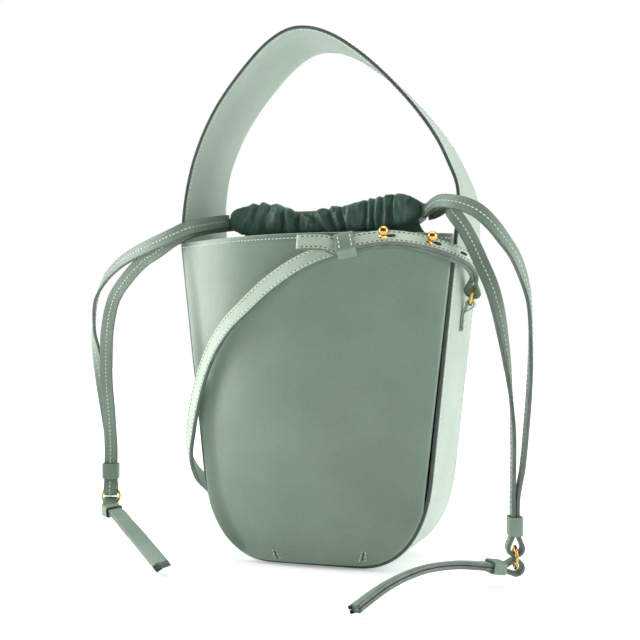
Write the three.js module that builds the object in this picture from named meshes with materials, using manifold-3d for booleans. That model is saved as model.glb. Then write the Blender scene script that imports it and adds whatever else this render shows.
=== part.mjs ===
// A leather bucket bag with a strip handle, a drawstring pouch and a shoulder strap.
// Millimetres, +Z up. The origin is under the middle of the base: X runs across the bag,
// and -Y is the front. Each mesh is one separate piece of the bag.
import * as THREE from 'three';
import { mergeVertices } from 'three/addons/utils/BufferGeometryUtils.js';
import Module from 'manifold-3d';

const wasm = await Module();
wasm.setup();

// ---- driving dimensions ----

const GAP = 0.3; // clearance between pieces that touch
const CORNER_GAP = 0.5; // and between two curved faces

const RIM_HEIGHT = 228;
const RIM_HALF_WIDTH = 102.5;
const BASE_HALF_WIDTH = 78.3; // the tapering sides carried down to the base
const FLAT_HALF = 30; // half of the flat stretch of the base
const CORNER_HEIGHT = 66;
const CORNER_POWER = 2.4; // 2 is an ellipse, more is squarer
const SIDE_HALF_TOP = 40; // half the depth of the side strip at the rim
const SIDE_HALF_BASE = 37;
const BULGE = 38; // how far the rim's middle stands out past the strip
const BULGE_POWER = 0.45;
const STRIP_THICK = 3; // two layers of leather
const PANEL_THICK = 2;
const BOARD_THICK = 2;

const APEX_HALF = 32; // half the handle's width over its upper part
const HANDLE_TAPER = 75; // height over which the handle narrows
const LEAF_THICK = 1.35; // one of the handle's two layers
const LEAN = 10.5 * Math.PI / 180; // room for the handle's lean in its foot
// The handle's outer line, seen from the front: x, z.
const HANDLE_LINE = [
  [-102.5, RIM_HEIGHT], [-103.2, 248], [-101.5, 270], [-95.5, 295], [-80, 326.5], [-57, 355],
  [-37, 373], [-20.5, 380.3], [-5, 379.6], [11.5, 373], [28.5, 361.3], [44, 347.8], [60, 331],
  [74.5, 313.5], [87, 295], [96, 276.5], [101.6, 262], [103.2, 246], [102.5, RIM_HEIGHT],
];

const POUCH_THICK = 1.6; // leather and lining
const POUCH_POWER = 2.4;
const POUCH_CLEAR = 7; // from the bag's outer faces to the pouch
const POUCH_FLOOR = 9; // height of its underside
const POUCH_LOWER = [10.9, 14, 22, 36, 56, 80, 115]; // heights along the wall's lower stretch
const POUCH_UPPER = [115 + GAP, 150, 185, 205, 214]; // and along its upper one
// Half the width, half the depth and the height of its shoulder, up to the slit.
const POUCH_SHOULDER = [[88, 52, 222], [78, 28, 230], [72, 11, 236], [71, 7.2, 238]];
const COLLAR_HEIGHT = 17;
const COLLAR_DEPTH = 10.4; // one half of the gathered collar, front to back
const COLLAR_Y = 8.4; // where the middle of each half runs
const COLLAR_SQUARE = 0.7; // 1 is an ellipse, less is squarer
// The collar's middle line: x, z.
const COLLAR_LINE = [[-77, 247], [-62, 248.5], [-50, 249.5], [-35, 248], [-20, 247], [-5, 247], [10, 247.2],
  [25, 248.2], [40, 250], [54, 251.5], [64, 250], [70, 248.6]];

const CORD_WIDTH = 9.8; // drawstring
const CORD_THICK = 2.4;
const STRAP_WIDTH = 10.5; // shoulder strap
const STRAP_THICK = 3;
const LEAF = 2.2; // one leaf of a tassel
const TASSEL_WIDTH = 10.2;

const RING_RADIUS = 7; // drawstring rings, to the middle of the wire
const RING_WIRE = 0.9;
const STRAP_RING_RADIUS = 7.4;
const STRAP_RING_WIRE = 1.1;
const WIRE_SIDES = 6;
const WIRE_STEPS = 22;
const EYE_RADIUS = 3.4; // inside of every fold that holds a ring
const EYE_SHIFT = 0.9; // how far a fold's middle lies inside the ring's wire
const TAB_WIDTH = 6.4;
const TAB_THICK = 1.2;
const TAB_EYE = 2.3;
const TAB_FOOT = 164; // heights of the tab's sewn end and of the bottom of its eye
const TAB_TOP = 176;
const EYE_OUT = 103.2; // |x| of the tabs' eyes
const EYE_HEIGHT = 182.5;
const RIGHT_RING_LEAN = 18 * Math.PI / 180; // the right ring stands up and leans out
const LEFT_RING_LEAN = 20 * Math.PI / 180; // the left ring hangs down and leans out
const RIGHT_LOOP_ANGLE = 45 * Math.PI / 180; // the strap loops round the ring this far from its tip,
const LEFT_LOOP_ANGLE = 48 * Math.PI / 180; // to the front on the right and to the back on the left
const KEEPER_RISE = 13; // from a tassel ring's upper wire to the middle of the sleeve above it
const LEG = 9; // from a fold's middle to the ends of its two sides
const FOLD_FROM = 60 * Math.PI / 180; // the round part of a fold starts and ends here,
const FOLD_TO = 300 * Math.PI / 180; // measured from the way its legs point
const LEAF_GAP = 0.2; // half the gap between a tassel's leaves
const LEAF_SPREAD = 0.8; // and how much wider it is beside the ring
// The keepers: length, wall, and how much wider and deeper the hole is than what it holds.
const CORD_KEEPER = { length: 12, wall: 1.3, across: 1.2, through: 2.8 };
const TASSEL_KEEPER = { length: 9, wall: 1.3, across: 1.4, through: 3 };
const STRAP_KEEPER = { length: 12, wall: 1.5, across: 2, through: 3 };
const TASSEL_SLANT = 7; // how much shorter one corner of the tip is

const LAYER_RISE = -(STRAP_THICK + 0.5); // from the shoulder strap's run to the layer on top of it

const STUD_RADIUS = 3.3; // its ball
const STUD_NECK = 1.6;
const STUD_WALL = 0.5; // of its hollow neck
const STUD_RISE = 1.6; // of the neck above the top layer
const BALL_RISE = 2.4; // from the neck's top to the ball's middle
const BORE_DEPTH = 2.2; // down from the main run's face
const STUD_SIDES = 12;
const SCREW_HEAD = 3.2;
const SCREW_REACH = 2.6;
const RUN_HOLE = 1.9; // radius of the stud's hole in the main run
const END_HOLE = 2.1; // and in the folded-back end
const HOLE_SIDES = 14;
const SLIT_LENGTH = 5;
const SLIT_WIDTH = 0.9;
const SLIT_SHIFT = 3.4; // from the hole's middle to the slit's
const STUD_STATIONS = [16, 22]; // steps along the shoulder strap's main run
const SPARE_HOLE_STATION = 10;
const KEEPER_STATION = 27;
const TASSEL_KEEPER_STATION = 9; // steps along the tassel's route, six to a point
const FOLD_BACK_SHARED = 29; // the folded-back end lies on the main run up to here
const TAIL_STATIONS = 8; // and the left end's sewn tail covers this many

// Routes, chosen by hand: x, y, z at the middle of the strap. The shoulder strap's two ends are
// set by its loops.
const SHOULDER_ROUTE = [
  [107.6, -26, 208], [105, -39.5, 211], [98.5, -50.5, 213.8],
  [90, -58.6, 216.6], [78, -66, 219.6], [65, -72.5, 221], [51, -78, 219.8], [38, -81.6, 217.4],
  [26, -84, 214.4], [12, -85.3, 209.6], [-2, -85, 202.6], [-18, -82.6, 192.6], [-37, -77, 178.4],
  [-50, -71.8, 168.6], [-65, -63.6, 152.6], [-76.5, -56, 135], [-86, -49.2, 113], [-91.5, -45.2, 92],
  [-93.8, -41.5, 75], [-93, -32.5, 61], [-90.6, -19, 51], [-90.5, -2, 42], [-89.6, 18, 30], [-80, 46, 16.5],
  [-56, 70, 8.5], [-26, 84, 5.8], [4, 90, 5.6], [24, 97.5, 5.6], [32.5, 110, 5.6], [24, 122, 5.6],
  [4, 126.5, 5.6], [-30, 125, 5.6], [-62, 118.5, 5.6], [-88, 104, 8], [-105, 82, 15], [-114, 58, 33],
  [-117, 44, 66], [-115, 38, 108], [-112, 28, 142],
];
// Which way the strap's upper edge points at each point of the route.
const SHOULDER_UP = [
  [0, 0.5, 0.86], [-0.15, 0.5, 0.85], [-0.25, 0.52, 0.82],
  [-0.3, 0.55, 0.78], [-0.2, 0.6, 0.78], [-0.08, 0.6, 0.8], [0, 0.55, 0.83], [-0.1, 0.4, 0.9],
  [-0.25, 0.2, 0.95], [-0.4, 0.1, 0.9], [-0.5, 0.06, 0.84], [-0.6, 0.05, 0.78], [-0.62, 0.12, 0.76],
  [-0.65, 0.2, 0.7], [-0.75, 0.35, 0.6], [-0.82, 0.45, 0.4], [-0.85, 0.5, 0.15], [-0.8, 0.6, 0],
  [-0.55, 0.8, 0.15], [-0.2, 0.8, 0.6], [0, 0.5, 0.87], [0, 0.3, 0.95], [0, 0.25, 0.97], [0, 0.2, 0.98],
  [0, 0.1, 1], [0, 0, 1], [0, 0, 1], [0, 0, 1], [0, 0, 1], [0, 0, 1],
  [0, 0, 1], [0, 0, 1], [0, 0, 1], [0, 0, 1], [0.1, 0.3, 0.95], [0.1, 0.7, 0.7],
  [0.05, 0.9, 0.4], [0.05, 0.9, 0.4], [0.1, 0.8, 0.6],
];
// The tip of the folded-back end, past the keeper.
const FOLD_BACK_TIP = [[27, -87.6, 219.4], [17, -88.8, 220.4], [7, -89.2, 220.4]];

const LEFT_FRONT_ROUTE = [
  [-78.2, -8.4, 247], [-81, -12, 246.6], [-84.5, -26, 243.8], [-88.5, -39, 240.8], [-94, -47.5, 238],
  [-102, -50.6, 234], [-121, -48, 227.6], [-140, -42, 221.8], [-157, -35, 215], [-173, -28, 204.5],
  [-185, -21.5, 189], [-190.5, -15.5, 166], [-191.2, -10, 148], [-190, -5.5, 126], [-187, -2.6, 103],
  [-183.6, -1.6, 78], [-183.4, -1.6, 51.4],
];
const LEFT_FRONT_WIDTH = [
  [0, 0, 1], [0, 0, 1], [0, 0, 1], [0, 0, 1], [0, 0, 1],
  [0, 0, 1], [-0.1, 0.1, 1], [-0.2, 0.3, 0.9], [-0.4, 0.5, 0.75], [-0.5, 0.7, 0.5],
  [-0.4, 0.9, 0.1], [-0.6, 0.8, 0], [-0.9, 0.4, 0], [-0.98, 0, 0], [-0.943, -0.332, 0],
  [-0.943, -0.332, 0], [-0.943, -0.332, 0],
];
const LEFT_REAR_ROUTE = [
  [-78.2, 8.4, 247], [-81.4, 6.4, 246.6], [-86, -8, 244], [-90.5, -27, 240.4], [-94.5, -40.5, 236.4],
  [-100, -45.3, 233], [-107, -45.8, 229.4], [-119, -43.4, 223], [-133.5, -39.6, 216.4],
  [-151, -35, 203], [-165, -29, 188.5], [-174.6, -22, 166], [-178.6, -17, 148], [-181.2, -12.5, 126],
  [-181.8, -8, 103], [-182.3, -4.4, 78], [-182.4, -4.4, 51.4],
];
const LEFT_REAR_WIDTH = [
  [0, 0, 1], [0, 0, 1], [0, 0, 1], [0, 0, 1], [0, 0, 1],
  [0, 0, 1], [-0.1, 0, 1], [-0.3, -0.1, 0.9], [-0.45, -0.15, 0.8], [-0.6, -0.2, 0.7],
  [-0.75, -0.25, 0.5], [-0.9, -0.32, 0.2], [-0.943, -0.332, 0], [-0.943, -0.332, 0], [-0.943, -0.332, 0],
  [-0.943, -0.332, 0], [-0.943, -0.332, 0],
];
const RIGHT_FRONT_ROUTE = [
  [71.2, -8.4, 248.2], [74.4, -11, 248.5], [79.5, -22, 249.2], [86.5, -36, 249.6], [94, -48, 248.8],
  [102, -54.4, 247], [110, -57.4, 244.6], [119, -59, 240], [128, -58.6, 231.4], [136, -58, 220.6],
  [142, -57.6, 211.5], [148, -57.2, 196], [151.4, -57, 180], [152.2, -56.6, 152], [151.4, -56.2, 128],
  [149.6, -55.6, 104], [146.8, -54.6, 76], [143.4, -53.7, 56], [143.4, -53.7, 35.4],
];
const RIGHT_FRONT_WIDTH = [
  [0, 0, 1], [0, 0.15, 1], [0, 0.4, 0.9], [0, 0.5, 0.86], [0, 0.5, 0.86],
  [0, 0.4, 0.9], [0.1, 0.2, 1], [0.3, 0.2, 0.9], [0.5, 0.5, 0.7], [0.5, 0.7, 0.5],
  [0.45, 0.8, 0.3], [0.3, 0.9, 0.1], [0, 1, 0], [-0.2, 0.98, 0], [-0.332, 0.943, 0],
  [-0.332, 0.943, 0], [-0.332, 0.943, 0], [-0.332, 0.943, 0], [-0.332, 0.943, 0],
];
const RIGHT_REAR_ROUTE = [
  [71.2, 8.4, 248.6], [76, 6.6, 249.4], [84.5, -4, 251], [91, -19, 251.4], [95, -33, 248.4],
  [100.5, -45.6, 241], [108, -49, 231], [114.5, -51.6, 219.5], [121, -53.6, 205.8], [127, -54.6, 192],
  [131, -55, 178.4], [135, -55.2, 157], [138, -55.2, 136], [140, -55.2, 116], [141, -55, 98],
  [141, -54.8, 76], [140.6, -54.7, 56], [140.6, -54.7, 35.4],
];
const RIGHT_REAR_WIDTH = [
  [0, 0, 1], [0, 0, 1], [0, 0, 1], [0, 0, 1], [0.2, 0.05, 1], [0.6, 0.2, 0.75],
  [0.85, 0.3, 0.35], [0.92, 0.32, 0.2], [0.92, 0.33, 0.1], [0.85, 0.5, 0], [0.7, 0.7, 0],
  [0.4, 0.9, 0], [0.1, 1, 0], [-0.2, 0.98, 0], [-0.332, 0.943, 0], [-0.332, 0.943, 0],
  [-0.332, 0.943, 0], [-0.332, 0.943, 0],
];

// Where each side's ring hangs (`top` is its upper wire) and which way its straps' width runs there.
const LEFT_HANG = { x: -182.9, y: -3, top: 42, across: [-0.943, -0.332, 0] };
const RIGHT_HANG = { x: 142, y: -54.2, top: 26, across: [-0.332, 0.943, 0] };
const LEFT_TASSEL = {
  route: [[-182.9, -3, 28], [-180.8, -9.8, 26.4], [-165.9, -22.2, 25.2], [-141.3, -48.8, 21.6],
    [-120.9, -68.6, 17.2], [-102.2, -85.8, 11.8], [-81.7, -105.2, 6.6]],
  width: [[-0.943, -0.332, 0], [-0.94, -0.34, -0.02], [-0.9, -0.42, -0.1], [-0.87, -0.44, -0.2],
    [-0.82, -0.43, -0.34], [-0.77, -0.41, -0.45], [-0.75, -0.4, -0.5]],
};
const RIGHT_TASSEL = {
  route: [[142, -54.2, 12], [135.5, -56.5, 12.4], [125.5, -64.2, 14], [109.2, -78, 16.4],
    [94.2, -95.4, 16.4], [84.5, -114.8, 14.6], [77.4, -134.2, 11.8], [68.7, -166.5, 5.6]],
  width: [[-0.332, 0.943, 0], [-0.34, 0.94, 0], [-0.42, 0.9, -0.04], [-0.5, 0.85, -0.14],
    [-0.6, 0.78, -0.22], [-0.66, 0.7, -0.28], [-0.7, 0.66, -0.3], [-0.74, 0.6, -0.28]],
};

// ---- small helpers ----

const vec = (x, y, z) => new THREE.Vector3(x, y, z);
const lerp = (a, b, t) => a + (b - a) * t;
const clamp = (value, low, high) => Math.min(high, Math.max(low, value));
const CORNERS = [[-1, -1], [1, -1], [1, 1], [-1, 1]]; // of a strap's cross-section
const steps = (count) => Array.from({ length: count + 1 }, (_, i) => i / count);

function meshVolume(positions, faces) {
  let total = 0;
  for (const [a, b, c] of faces) total += positions[a].dot(positions[b].clone().cross(positions[c])) / 6;
  return total;
}

// Points and triangles become a geometry whose faces point out.
function solidFrom(positions, faces) {
  const flip = meshVolume(positions, faces) < 0;
  const geometry = new THREE.BufferGeometry();
  const values = positions.flatMap((p) => [p.x, p.y, p.z]);
  geometry.setAttribute('position', new THREE.Float32BufferAttribute(values, 3));
  geometry.setIndex(faces.flatMap(([a, b, c]) => (flip ? [a, c, b] : [a, b, c])));
  return geometry;
}

// Rings of equal point count joined side by side, with flat ends or closed on itself.
function loft(rings, closed = false) {
  const size = rings[0].length;
  const positions = rings.flat();
  const faces = [];
  const last = closed ? rings.length : rings.length - 1;
  for (let i = 0; i < last; i += 1) {
    const a = i * size;
    const b = ((i + 1) % rings.length) * size;
    for (let j = 0; j < size; j += 1) {
      const k = (j + 1) % size;
      faces.push([a + j, b + j, b + k], [a + j, b + k, a + k]);
    }
  }
  if (!closed) {
    const end = (rings.length - 1) * size;
    for (let j = 1; j < size - 1; j += 1) {
      faces.push([0, j, j + 1], [end, end + j + 1, end + j]);
    }
  }
  return solidFrom(positions, faces);
}

// Two grids of points, the outer and inner faces of a sheet, closed round their edge.
function sheet(outer, inner) {
  const rows = outer.length;
  const cols = outer[0].length;
  const positions = [...outer.flat(), ...inner.flat()];
  const under = rows * cols;
  const faces = [];
  const at = (i, j) => i * cols + j;
  for (let i = 0; i < rows - 1; i += 1) {
    for (let j = 0; j < cols - 1; j += 1) {
      const [a, b, c, d] = [at(i, j), at(i, j + 1), at(i + 1, j + 1), at(i + 1, j)];
      faces.push([a, b, c], [a, c, d]);
      faces.push([under + a, under + c, under + b], [under + a, under + d, under + c]);
    }
  }
  const rim = [];
  for (let j = 0; j < cols - 1; j += 1) rim.push(at(0, j));
  for (let i = 0; i < rows - 1; i += 1) rim.push(at(i, cols - 1));
  for (let j = cols - 1; j > 0; j -= 1) rim.push(at(rows - 1, j));
  for (let i = rows - 1; i > 0; i -= 1) rim.push(at(i, 0));
  rim.forEach((a, k) => {
    const b = rim[(k + 1) % rim.length];
    faces.push([a, under + a, under + b], [a, under + b, b]);
  });
  return solidFrom(positions, faces);
}

function toSolid(geometry) {
  const bare = geometry.clone();
  bare.deleteAttribute('normal');
  bare.deleteAttribute('uv');
  const merged = mergeVertices(bare.index ? bare : bare.toNonIndexed());
  return new wasm.Manifold(new wasm.Mesh({
    numProp: 3,
    vertProperties: new Float32Array(merged.attributes.position.array),
    triVerts: new Uint32Array(merged.index.array),
  }));
}

function fromSolid(solid) {
  const mesh = solid.getMesh();
  const geometry = new THREE.BufferGeometry();
  geometry.setAttribute('position', new THREE.BufferAttribute(new Float32Array(mesh.vertProperties), 3));
  geometry.setIndex(new THREE.BufferAttribute(new Uint32Array(mesh.triVerts), 1));
  return geometry;
}

function cut(geometry, ...tools) {
  let solid = toSolid(geometry);
  for (const tool of tools) solid = solid.subtract(toSolid(tool));
  return fromSolid(solid);
}

// Stations along a strap: its middle p, its direction t, its width direction w and its face n.
function stations(route, hints, count) {
  const line = new THREE.CatmullRomCurve3(route.map((p) => vec(...p)), false, 'centripetal');
  const turn = new THREE.CatmullRomCurve3(hints.map((h) => vec(...h)), false, 'centripetal');
  return steps(count).map((s) => {
    const p = line.getPoint(s);
    const t = line.getTangent(s);
    const hint = turn.getPoint(s);
    const w = hint.addScaledVector(t, -hint.dot(t)).normalize();
    const n = t.clone().cross(w).normalize();
    return { p, t, w, n };
  });
}

// A flat strap through its stations.
function ribbon(list, width, thick) {
  return loft(list.map(({ p, w, n }) => CORNERS.map(([a, b]) => p.clone()
    .addScaledVector(w, a * width / 2)
    .addScaledVector(n, b * thick / 2))));
}

// A strap folded round a ring's wire: `eye` is the fold's middle, `along` points down its two
// legs, `across` is the wire's direction there, and `half` is how far each leg ends from the middle.
function fold(eye, along, across, width, thick, half) {
  const t = along.clone().normalize();
  const w = across.clone().addScaledVector(t, -across.dot(t)).normalize();
  const n = t.clone().cross(w);
  const radius = EYE_RADIUS + thick / 2;
  const line = [[LEG, half], [0.7 * LEG, lerp(half, radius, 0.28)]];
  for (const s of steps(8)) {
    const angle = lerp(FOLD_FROM, FOLD_TO, s);
    line.push([radius * Math.cos(angle), radius * Math.sin(angle)]);
  }
  line.push([line[1][0], -line[1][1]], [LEG, -half]);
  const points = line.map(([u, v]) => eye.clone().addScaledVector(t, u).addScaledVector(n, v));
  return loft(points.map((p, i) => {
    const before = points[Math.max(0, i - 1)];
    const after = points[Math.min(points.length - 1, i + 1)];
    const side = after.clone().sub(before).normalize().cross(w).normalize();
    return CORNERS.map(([a, b]) => p.clone()
      .addScaledVector(w, a * width / 2)
      .addScaledVector(side, b * thick / 2));
  }));
}

// A flat sleeve round straps `width` by `thick`: a rectangular band with a rectangular hole.
function sleeve({ p, t, w }, width, thick, { length, wall, across, through }) {
  const along = t.clone().normalize();
  const side = w.clone().addScaledVector(along, -w.dot(along)).normalize();
  const face = along.clone().cross(side);
  const ring = (end, out) => CORNERS.map(([b, c]) => p.clone()
    .addScaledVector(along, end * length / 2)
    .addScaledVector(side, b * ((width + across) / 2 + out))
    .addScaledVector(face, c * ((thick + through) / 2 + out)));
  return loft([ring(-1, 0), ring(-1, wall), ring(1, wall), ring(1, 0)], true);
}

// A wire ring about its middle, with `axis` through its hole.
function wireRing(middle, axis, radius, wire) {
  const geometry = new THREE.TorusGeometry(radius, wire, WIRE_SIDES, WIRE_STEPS);
  geometry.applyQuaternion(new THREE.Quaternion().setFromUnitVectors(vec(0, 0, 1), axis.clone().normalize()));
  geometry.translate(middle.x, middle.y, middle.z);
  return mergedCopy(geometry);
}

function mergedCopy(geometry) {
  const bare = geometry.clone();
  bare.deleteAttribute('normal');
  bare.deleteAttribute('uv');
  return mergeVertices(bare);
}

// ---- the bag's own shape ----

const sideHalf = (z) => lerp(SIDE_HALF_BASE, SIDE_HALF_TOP, z / RIM_HEIGHT);

// Half the outline as seen from the front, from the rim (s = 0) to the middle of the base (s = 1).
function outlinePoint(s) {
  const straight = 0.55;
  const corner = 0.9;
  const taper = (z) => lerp(BASE_HALF_WIDTH, RIM_HALF_WIDTH, z / RIM_HEIGHT);
  if (s <= straight) {
    const z = lerp(RIM_HEIGHT, CORNER_HEIGHT, s / straight);
    return [taper(z), z];
  }
  if (s <= corner) {
    const angle = (s - straight) / (corner - straight) * Math.PI / 2;
    const z = CORNER_HEIGHT * (1 - Math.sin(angle) ** (2 / CORNER_POWER));
    const inset = (BASE_HALF_WIDTH - FLAT_HALF) * (1 - Math.cos(angle) ** (2 / CORNER_POWER));
    return [taper(z) - inset, z];
  }
  return [FLAT_HALF * (1 - s) / (1 - corner), 0];
}

// The outline moved inwards by a distance.
function insetPoint(s, distance) {
  const [x, z] = outlinePoint(s);
  if (s >= 0.9) return [x, distance];
  const [x0, z0] = outlinePoint(Math.max(0, s - 0.002));
  const [x1, z1] = outlinePoint(Math.min(0.8999, s + 0.002));
  const length = Math.hypot(x1 - x0, z1 - z0);
  return [x + (z1 - z0) / length * distance, z - (x1 - x0) / length * distance];
}

// Half the bag's width at a height.
function halfWidth(z) {
  const drop = clamp((CORNER_HEIGHT - z) / CORNER_HEIGHT, 0, 1);
  const inset = (BASE_HALF_WIDTH - FLAT_HALF) * (1 - (1 - drop ** CORNER_POWER) ** (1 / CORNER_POWER));
  return lerp(BASE_HALF_WIDTH, RIM_HALF_WIDTH, z / RIM_HEIGHT) - inset;
}

// How far the front or back panel's outer face stands from the middle plane.
function panelDepth(x, z) {
  const height = clamp(z / RIM_HEIGHT, 0, 1);
  const crown = clamp(1 - (x / halfWidth(z)) ** 2, 0, 1);
  return sideHalf(z) + BULGE * height ** BULGE_POWER * crown;
}

// ---- the pieces ----

// One bulging panel inside the strip, front (-1) or back (1).
function panel(side) {
  const columns = 16;
  const rows = 7;
  const face = (depthChange) => steps(rows).map((v) => steps(columns).map((u) => {
    const across = u * 2 - 1;
    const s = lerp(0.62, 1, 1 - Math.abs(across));
    const [edgeX, edgeZ] = insetPoint(s, STRIP_THICK + CORNER_GAP);
    const topX = (RIM_HALF_WIDTH - STRIP_THICK - CORNER_GAP) * Math.abs(across);
    const rise = v ** 1.15;
    const x = Math.sign(across) * lerp(edgeX, topX, rise);
    const z = lerp(edgeZ, RIM_HEIGHT, rise);
    return vec(x, side * (panelDepth(x, z) - depthChange), z);
  }));
  return sheet(face(0), face(PANEL_THICK));
}

// A stretch of the side-and-base strip between two places on the outline.
function strip(from, to, side, count) {
  const grid = (inset) => steps(count).map((k) => {
    const s = lerp(from, to, k);
    const [x, z] = insetPoint(s, inset);
    const half = sideHalf(outlinePoint(s)[1]);
    return [-1, 0, 1].map((y) => vec(side * x, y * half, Math.min(z, RIM_HEIGHT)));
  });
  return sheet(grid(0), grid(STRIP_THICK));
}

// The base: the same strip, flat in the middle and turned up at both ends.
function basePanel() {
  const half = steps(10).map((k) => lerp(0.802, 1, k));
  const line = (inset) => [
    ...half.map((s) => [insetPoint(s, inset), -1, outlinePoint(s)[1]]),
    ...half.slice(0, -1).reverse().map((s) => [insetPoint(s, inset), 1, outlinePoint(s)[1]]),
  ];
  const grid = (inset) => line(inset).map(([[x, z], side, height]) => {
    const depth = sideHalf(height);
    return [-1, 0, 1].map((y) => vec(side * x, y * depth, z));
  });
  return sheet(grid(0), grid(STRIP_THICK));
}

function baseBoard() {
  const board = new THREE.BoxGeometry(2 * FLAT_HALF + 8, 2 * SIDE_HALF_BASE - 6, BOARD_THICK);
  board.translate(0, 0, STRIP_THICK + GAP + 0.5 + BOARD_THICK / 2);
  return mergedCopy(board);
}

// One of the handle's two layers, `inset` in from the outer line. Its foot is cut to a shallow
// V so that it can lean to the front and back.
function handleLayer(inset) {
  const line = new THREE.CatmullRomCurve3(HANDLE_LINE.map(([x, z]) => vec(x, 0, z)), false, 'centripetal');
  const count = 44;
  const grid = (depth) => steps(count).map((s) => {
    const p = line.getPoint(s);
    const t = line.getTangent(s);
    const inward = vec(t.z, 0, -t.x);
    const climb = clamp((p.z - RIM_HEIGHT) / HANDLE_TAPER, 0, 1);
    const half = lerp(SIDE_HALF_TOP, APEX_HALF, Math.sin(climb * Math.PI / 2));
    const up = t.z > 0 ? 1 : -1;
    const foot = s === 0 || s === 1;
    return [-1, 0, 1].map((y) => {
      const q = p.clone().addScaledVector(inward, depth);
      q.y = y * half;
      if (foot) q.addScaledVector(t, up * (GAP + Math.abs(q.y) * Math.tan(LEAN)));
      return q;
    });
  });
  return sheet(grid(inset), grid(inset + LEAF_THICK));
}

// Half of a squarish ring round the pouch at height z, on the front (-1) or the back (1).
function pouchHalfRing(side, halfX, halfY, z) {
  const seam = GAP / 2;
  const power = 2 / POUCH_POWER;
  return steps(12).map((k) => {
    const angle = k * Math.PI;
    const x = halfX * Math.sign(Math.cos(angle)) * Math.abs(Math.cos(angle)) ** power;
    return vec(x, side * (seam + (halfY - seam) * Math.sin(angle) ** power), z);
  });
}

// How far the pouch reaches across and to the front at height z.
function pouchReach(z) {
  return [halfWidth(z) - POUCH_CLEAR, panelDepth(0, z) - POUCH_CLEAR];
}

// The front or back half of the pouch between levels of half width, half depth and height.
function pouchSheet(side, levels) {
  const grid = (inset) => levels.map(([x, y, z]) => pouchHalfRing(side, x - inset, y - inset, z));
  return sheet(grid(0), grid(POUCH_THICK));
}

function pouchLower(side) {
  return pouchSheet(side, POUCH_LOWER.map((z) => [...pouchReach(z), z]));
}

function pouchUpper(side) {
  const [x, y, z] = POUCH_SHOULDER[0];
  return pouchSheet(side, [...POUCH_UPPER.map((height) => [...pouchReach(height), height]), [x, y, z - GAP]]);
}

function pouchFloor() {
  const [x, y] = pouchReach(POUCH_FLOOR);
  const ring = (z) => [...pouchHalfRing(-1, x, y, z), ...pouchHalfRing(1, x, y, z).reverse()];
  return loft([ring(POUCH_FLOOR), ring(POUCH_FLOOR + POUCH_THICK)]);
}

// One half of the gathered collar: a tube along its line with a flat channel for the drawstring.
function collarHalf(side) {
  const middle = COLLAR_LINE.map(([x, z]) => vec(x, side * COLLAR_Y, z));
  const line = new THREE.CatmullRomCurve3(middle, false, 'centripetal');
  const around = 10;
  const ring = (s, high, deep) => {
    const p = line.getPoint(s);
    return steps(around - 1).map((k) => {
      const angle = k * (around - 1) / around * 2 * Math.PI;
      const y = deep / 2 * Math.sign(Math.cos(angle)) * Math.abs(Math.cos(angle)) ** COLLAR_SQUARE;
      const z = high / 2 * Math.sign(Math.sin(angle)) * Math.abs(Math.sin(angle)) ** COLLAR_SQUARE;
      return vec(p.x, p.y + y, p.z + z);
    });
  };
  const places = steps(10);
  const skin = places.map((s) => ring(s, COLLAR_HEIGHT, COLLAR_DEPTH));
  const channel = places.map((s) => ring(s, CORD_WIDTH + 4.4, CORD_THICK + 3));
  return loft([...skin, ...channel.reverse()], true);
}

// The stretch of drawstring inside one half of the collar.
function channelCord(side) {
  const inside = COLLAR_LINE.map(([x, z]) => [clamp(x, -75.4, 68.4), side * COLLAR_Y, z]);
  return ribbon(stations(inside, inside.map(() => [0, 0, 1]), 14), CORD_WIDTH, CORD_THICK);
}

// A drawstring's free run from the collar down to the loop round its ring.
function drawstringRun(route, width) {
  return ribbon(stations(route, width, 34), CORD_WIDTH, CORD_THICK);
}

function drawstringLoop(hang) {
  const eye = vec(hang.x, hang.y, hang.top - EYE_SHIFT);
  return fold(eye, vec(0, 0, 1), vec(...hang.across), CORD_WIDTH, CORD_THICK, CORD_THICK / 2 + 0.25);
}

function drawstringKeeper(hang, height) {
  const place = { p: vec(hang.x, hang.y, height), t: vec(0, 0, 1), w: vec(...hang.across) };
  return sleeve(place, CORD_WIDTH, 2 * CORD_THICK, CORD_KEEPER);
}

function tasselRing(hang) {
  const middle = vec(hang.x, hang.y, hang.top - RING_RADIUS);
  return wireRing(middle, vec(...hang.across).cross(vec(0, 0, 1)), RING_RADIUS, RING_WIRE);
}

// A tassel: one strap folded round the ring's lower wire into two leaves with a slanted tip.
function tasselStrap({ route, width }) {
  const list = stations(route, width, 18);
  const [eye] = list;
  const half = LEAF / 2 + LEAF_GAP;
  const radius = EYE_RADIUS + LEAF / 2;
  const middleOfEye = eye.p.clone().add(vec(0, 0, EYE_SHIFT));
  const leaf = (sign) => list.slice(2).map((station, i) => {
    const shift = sign * (i === 0 ? half + LEAF_SPREAD : half);
    return { middle: station.p.clone().addScaledVector(station.n, shift), w: station.w, n: station.n };
  });
  const bend = steps(8).map((s) => {
    const angle = lerp(FOLD_FROM, FOLD_TO, s);
    const middle = middleOfEye.clone().addScaledVector(eye.t, radius * Math.cos(angle))
      .addScaledVector(eye.n, radius * Math.sin(angle));
    const n = eye.t.clone().multiplyScalar(Math.cos(angle)).addScaledVector(eye.n, Math.sin(angle));
    return { middle, w: eye.w, n };
  });
  const upper = leaf(1).reverse();
  const lower = leaf(-1).map((s) => ({ ...s, n: s.n.clone().negate() }));
  return loft([...upper, ...bend, ...lower].map(({ middle, w, n }, i, all) => {
    const tip = i === 0 || i === all.length - 1;
    return CORNERS.map(([a, b]) => {
      const q = middle.clone().addScaledVector(w, a * TASSEL_WIDTH / 2).addScaledVector(n, b * LEAF / 2);
      if (tip && a > 0) q.addScaledVector(list.at(-1).t, -TASSEL_SLANT);
      return q;
    });
  }));
}

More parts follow.
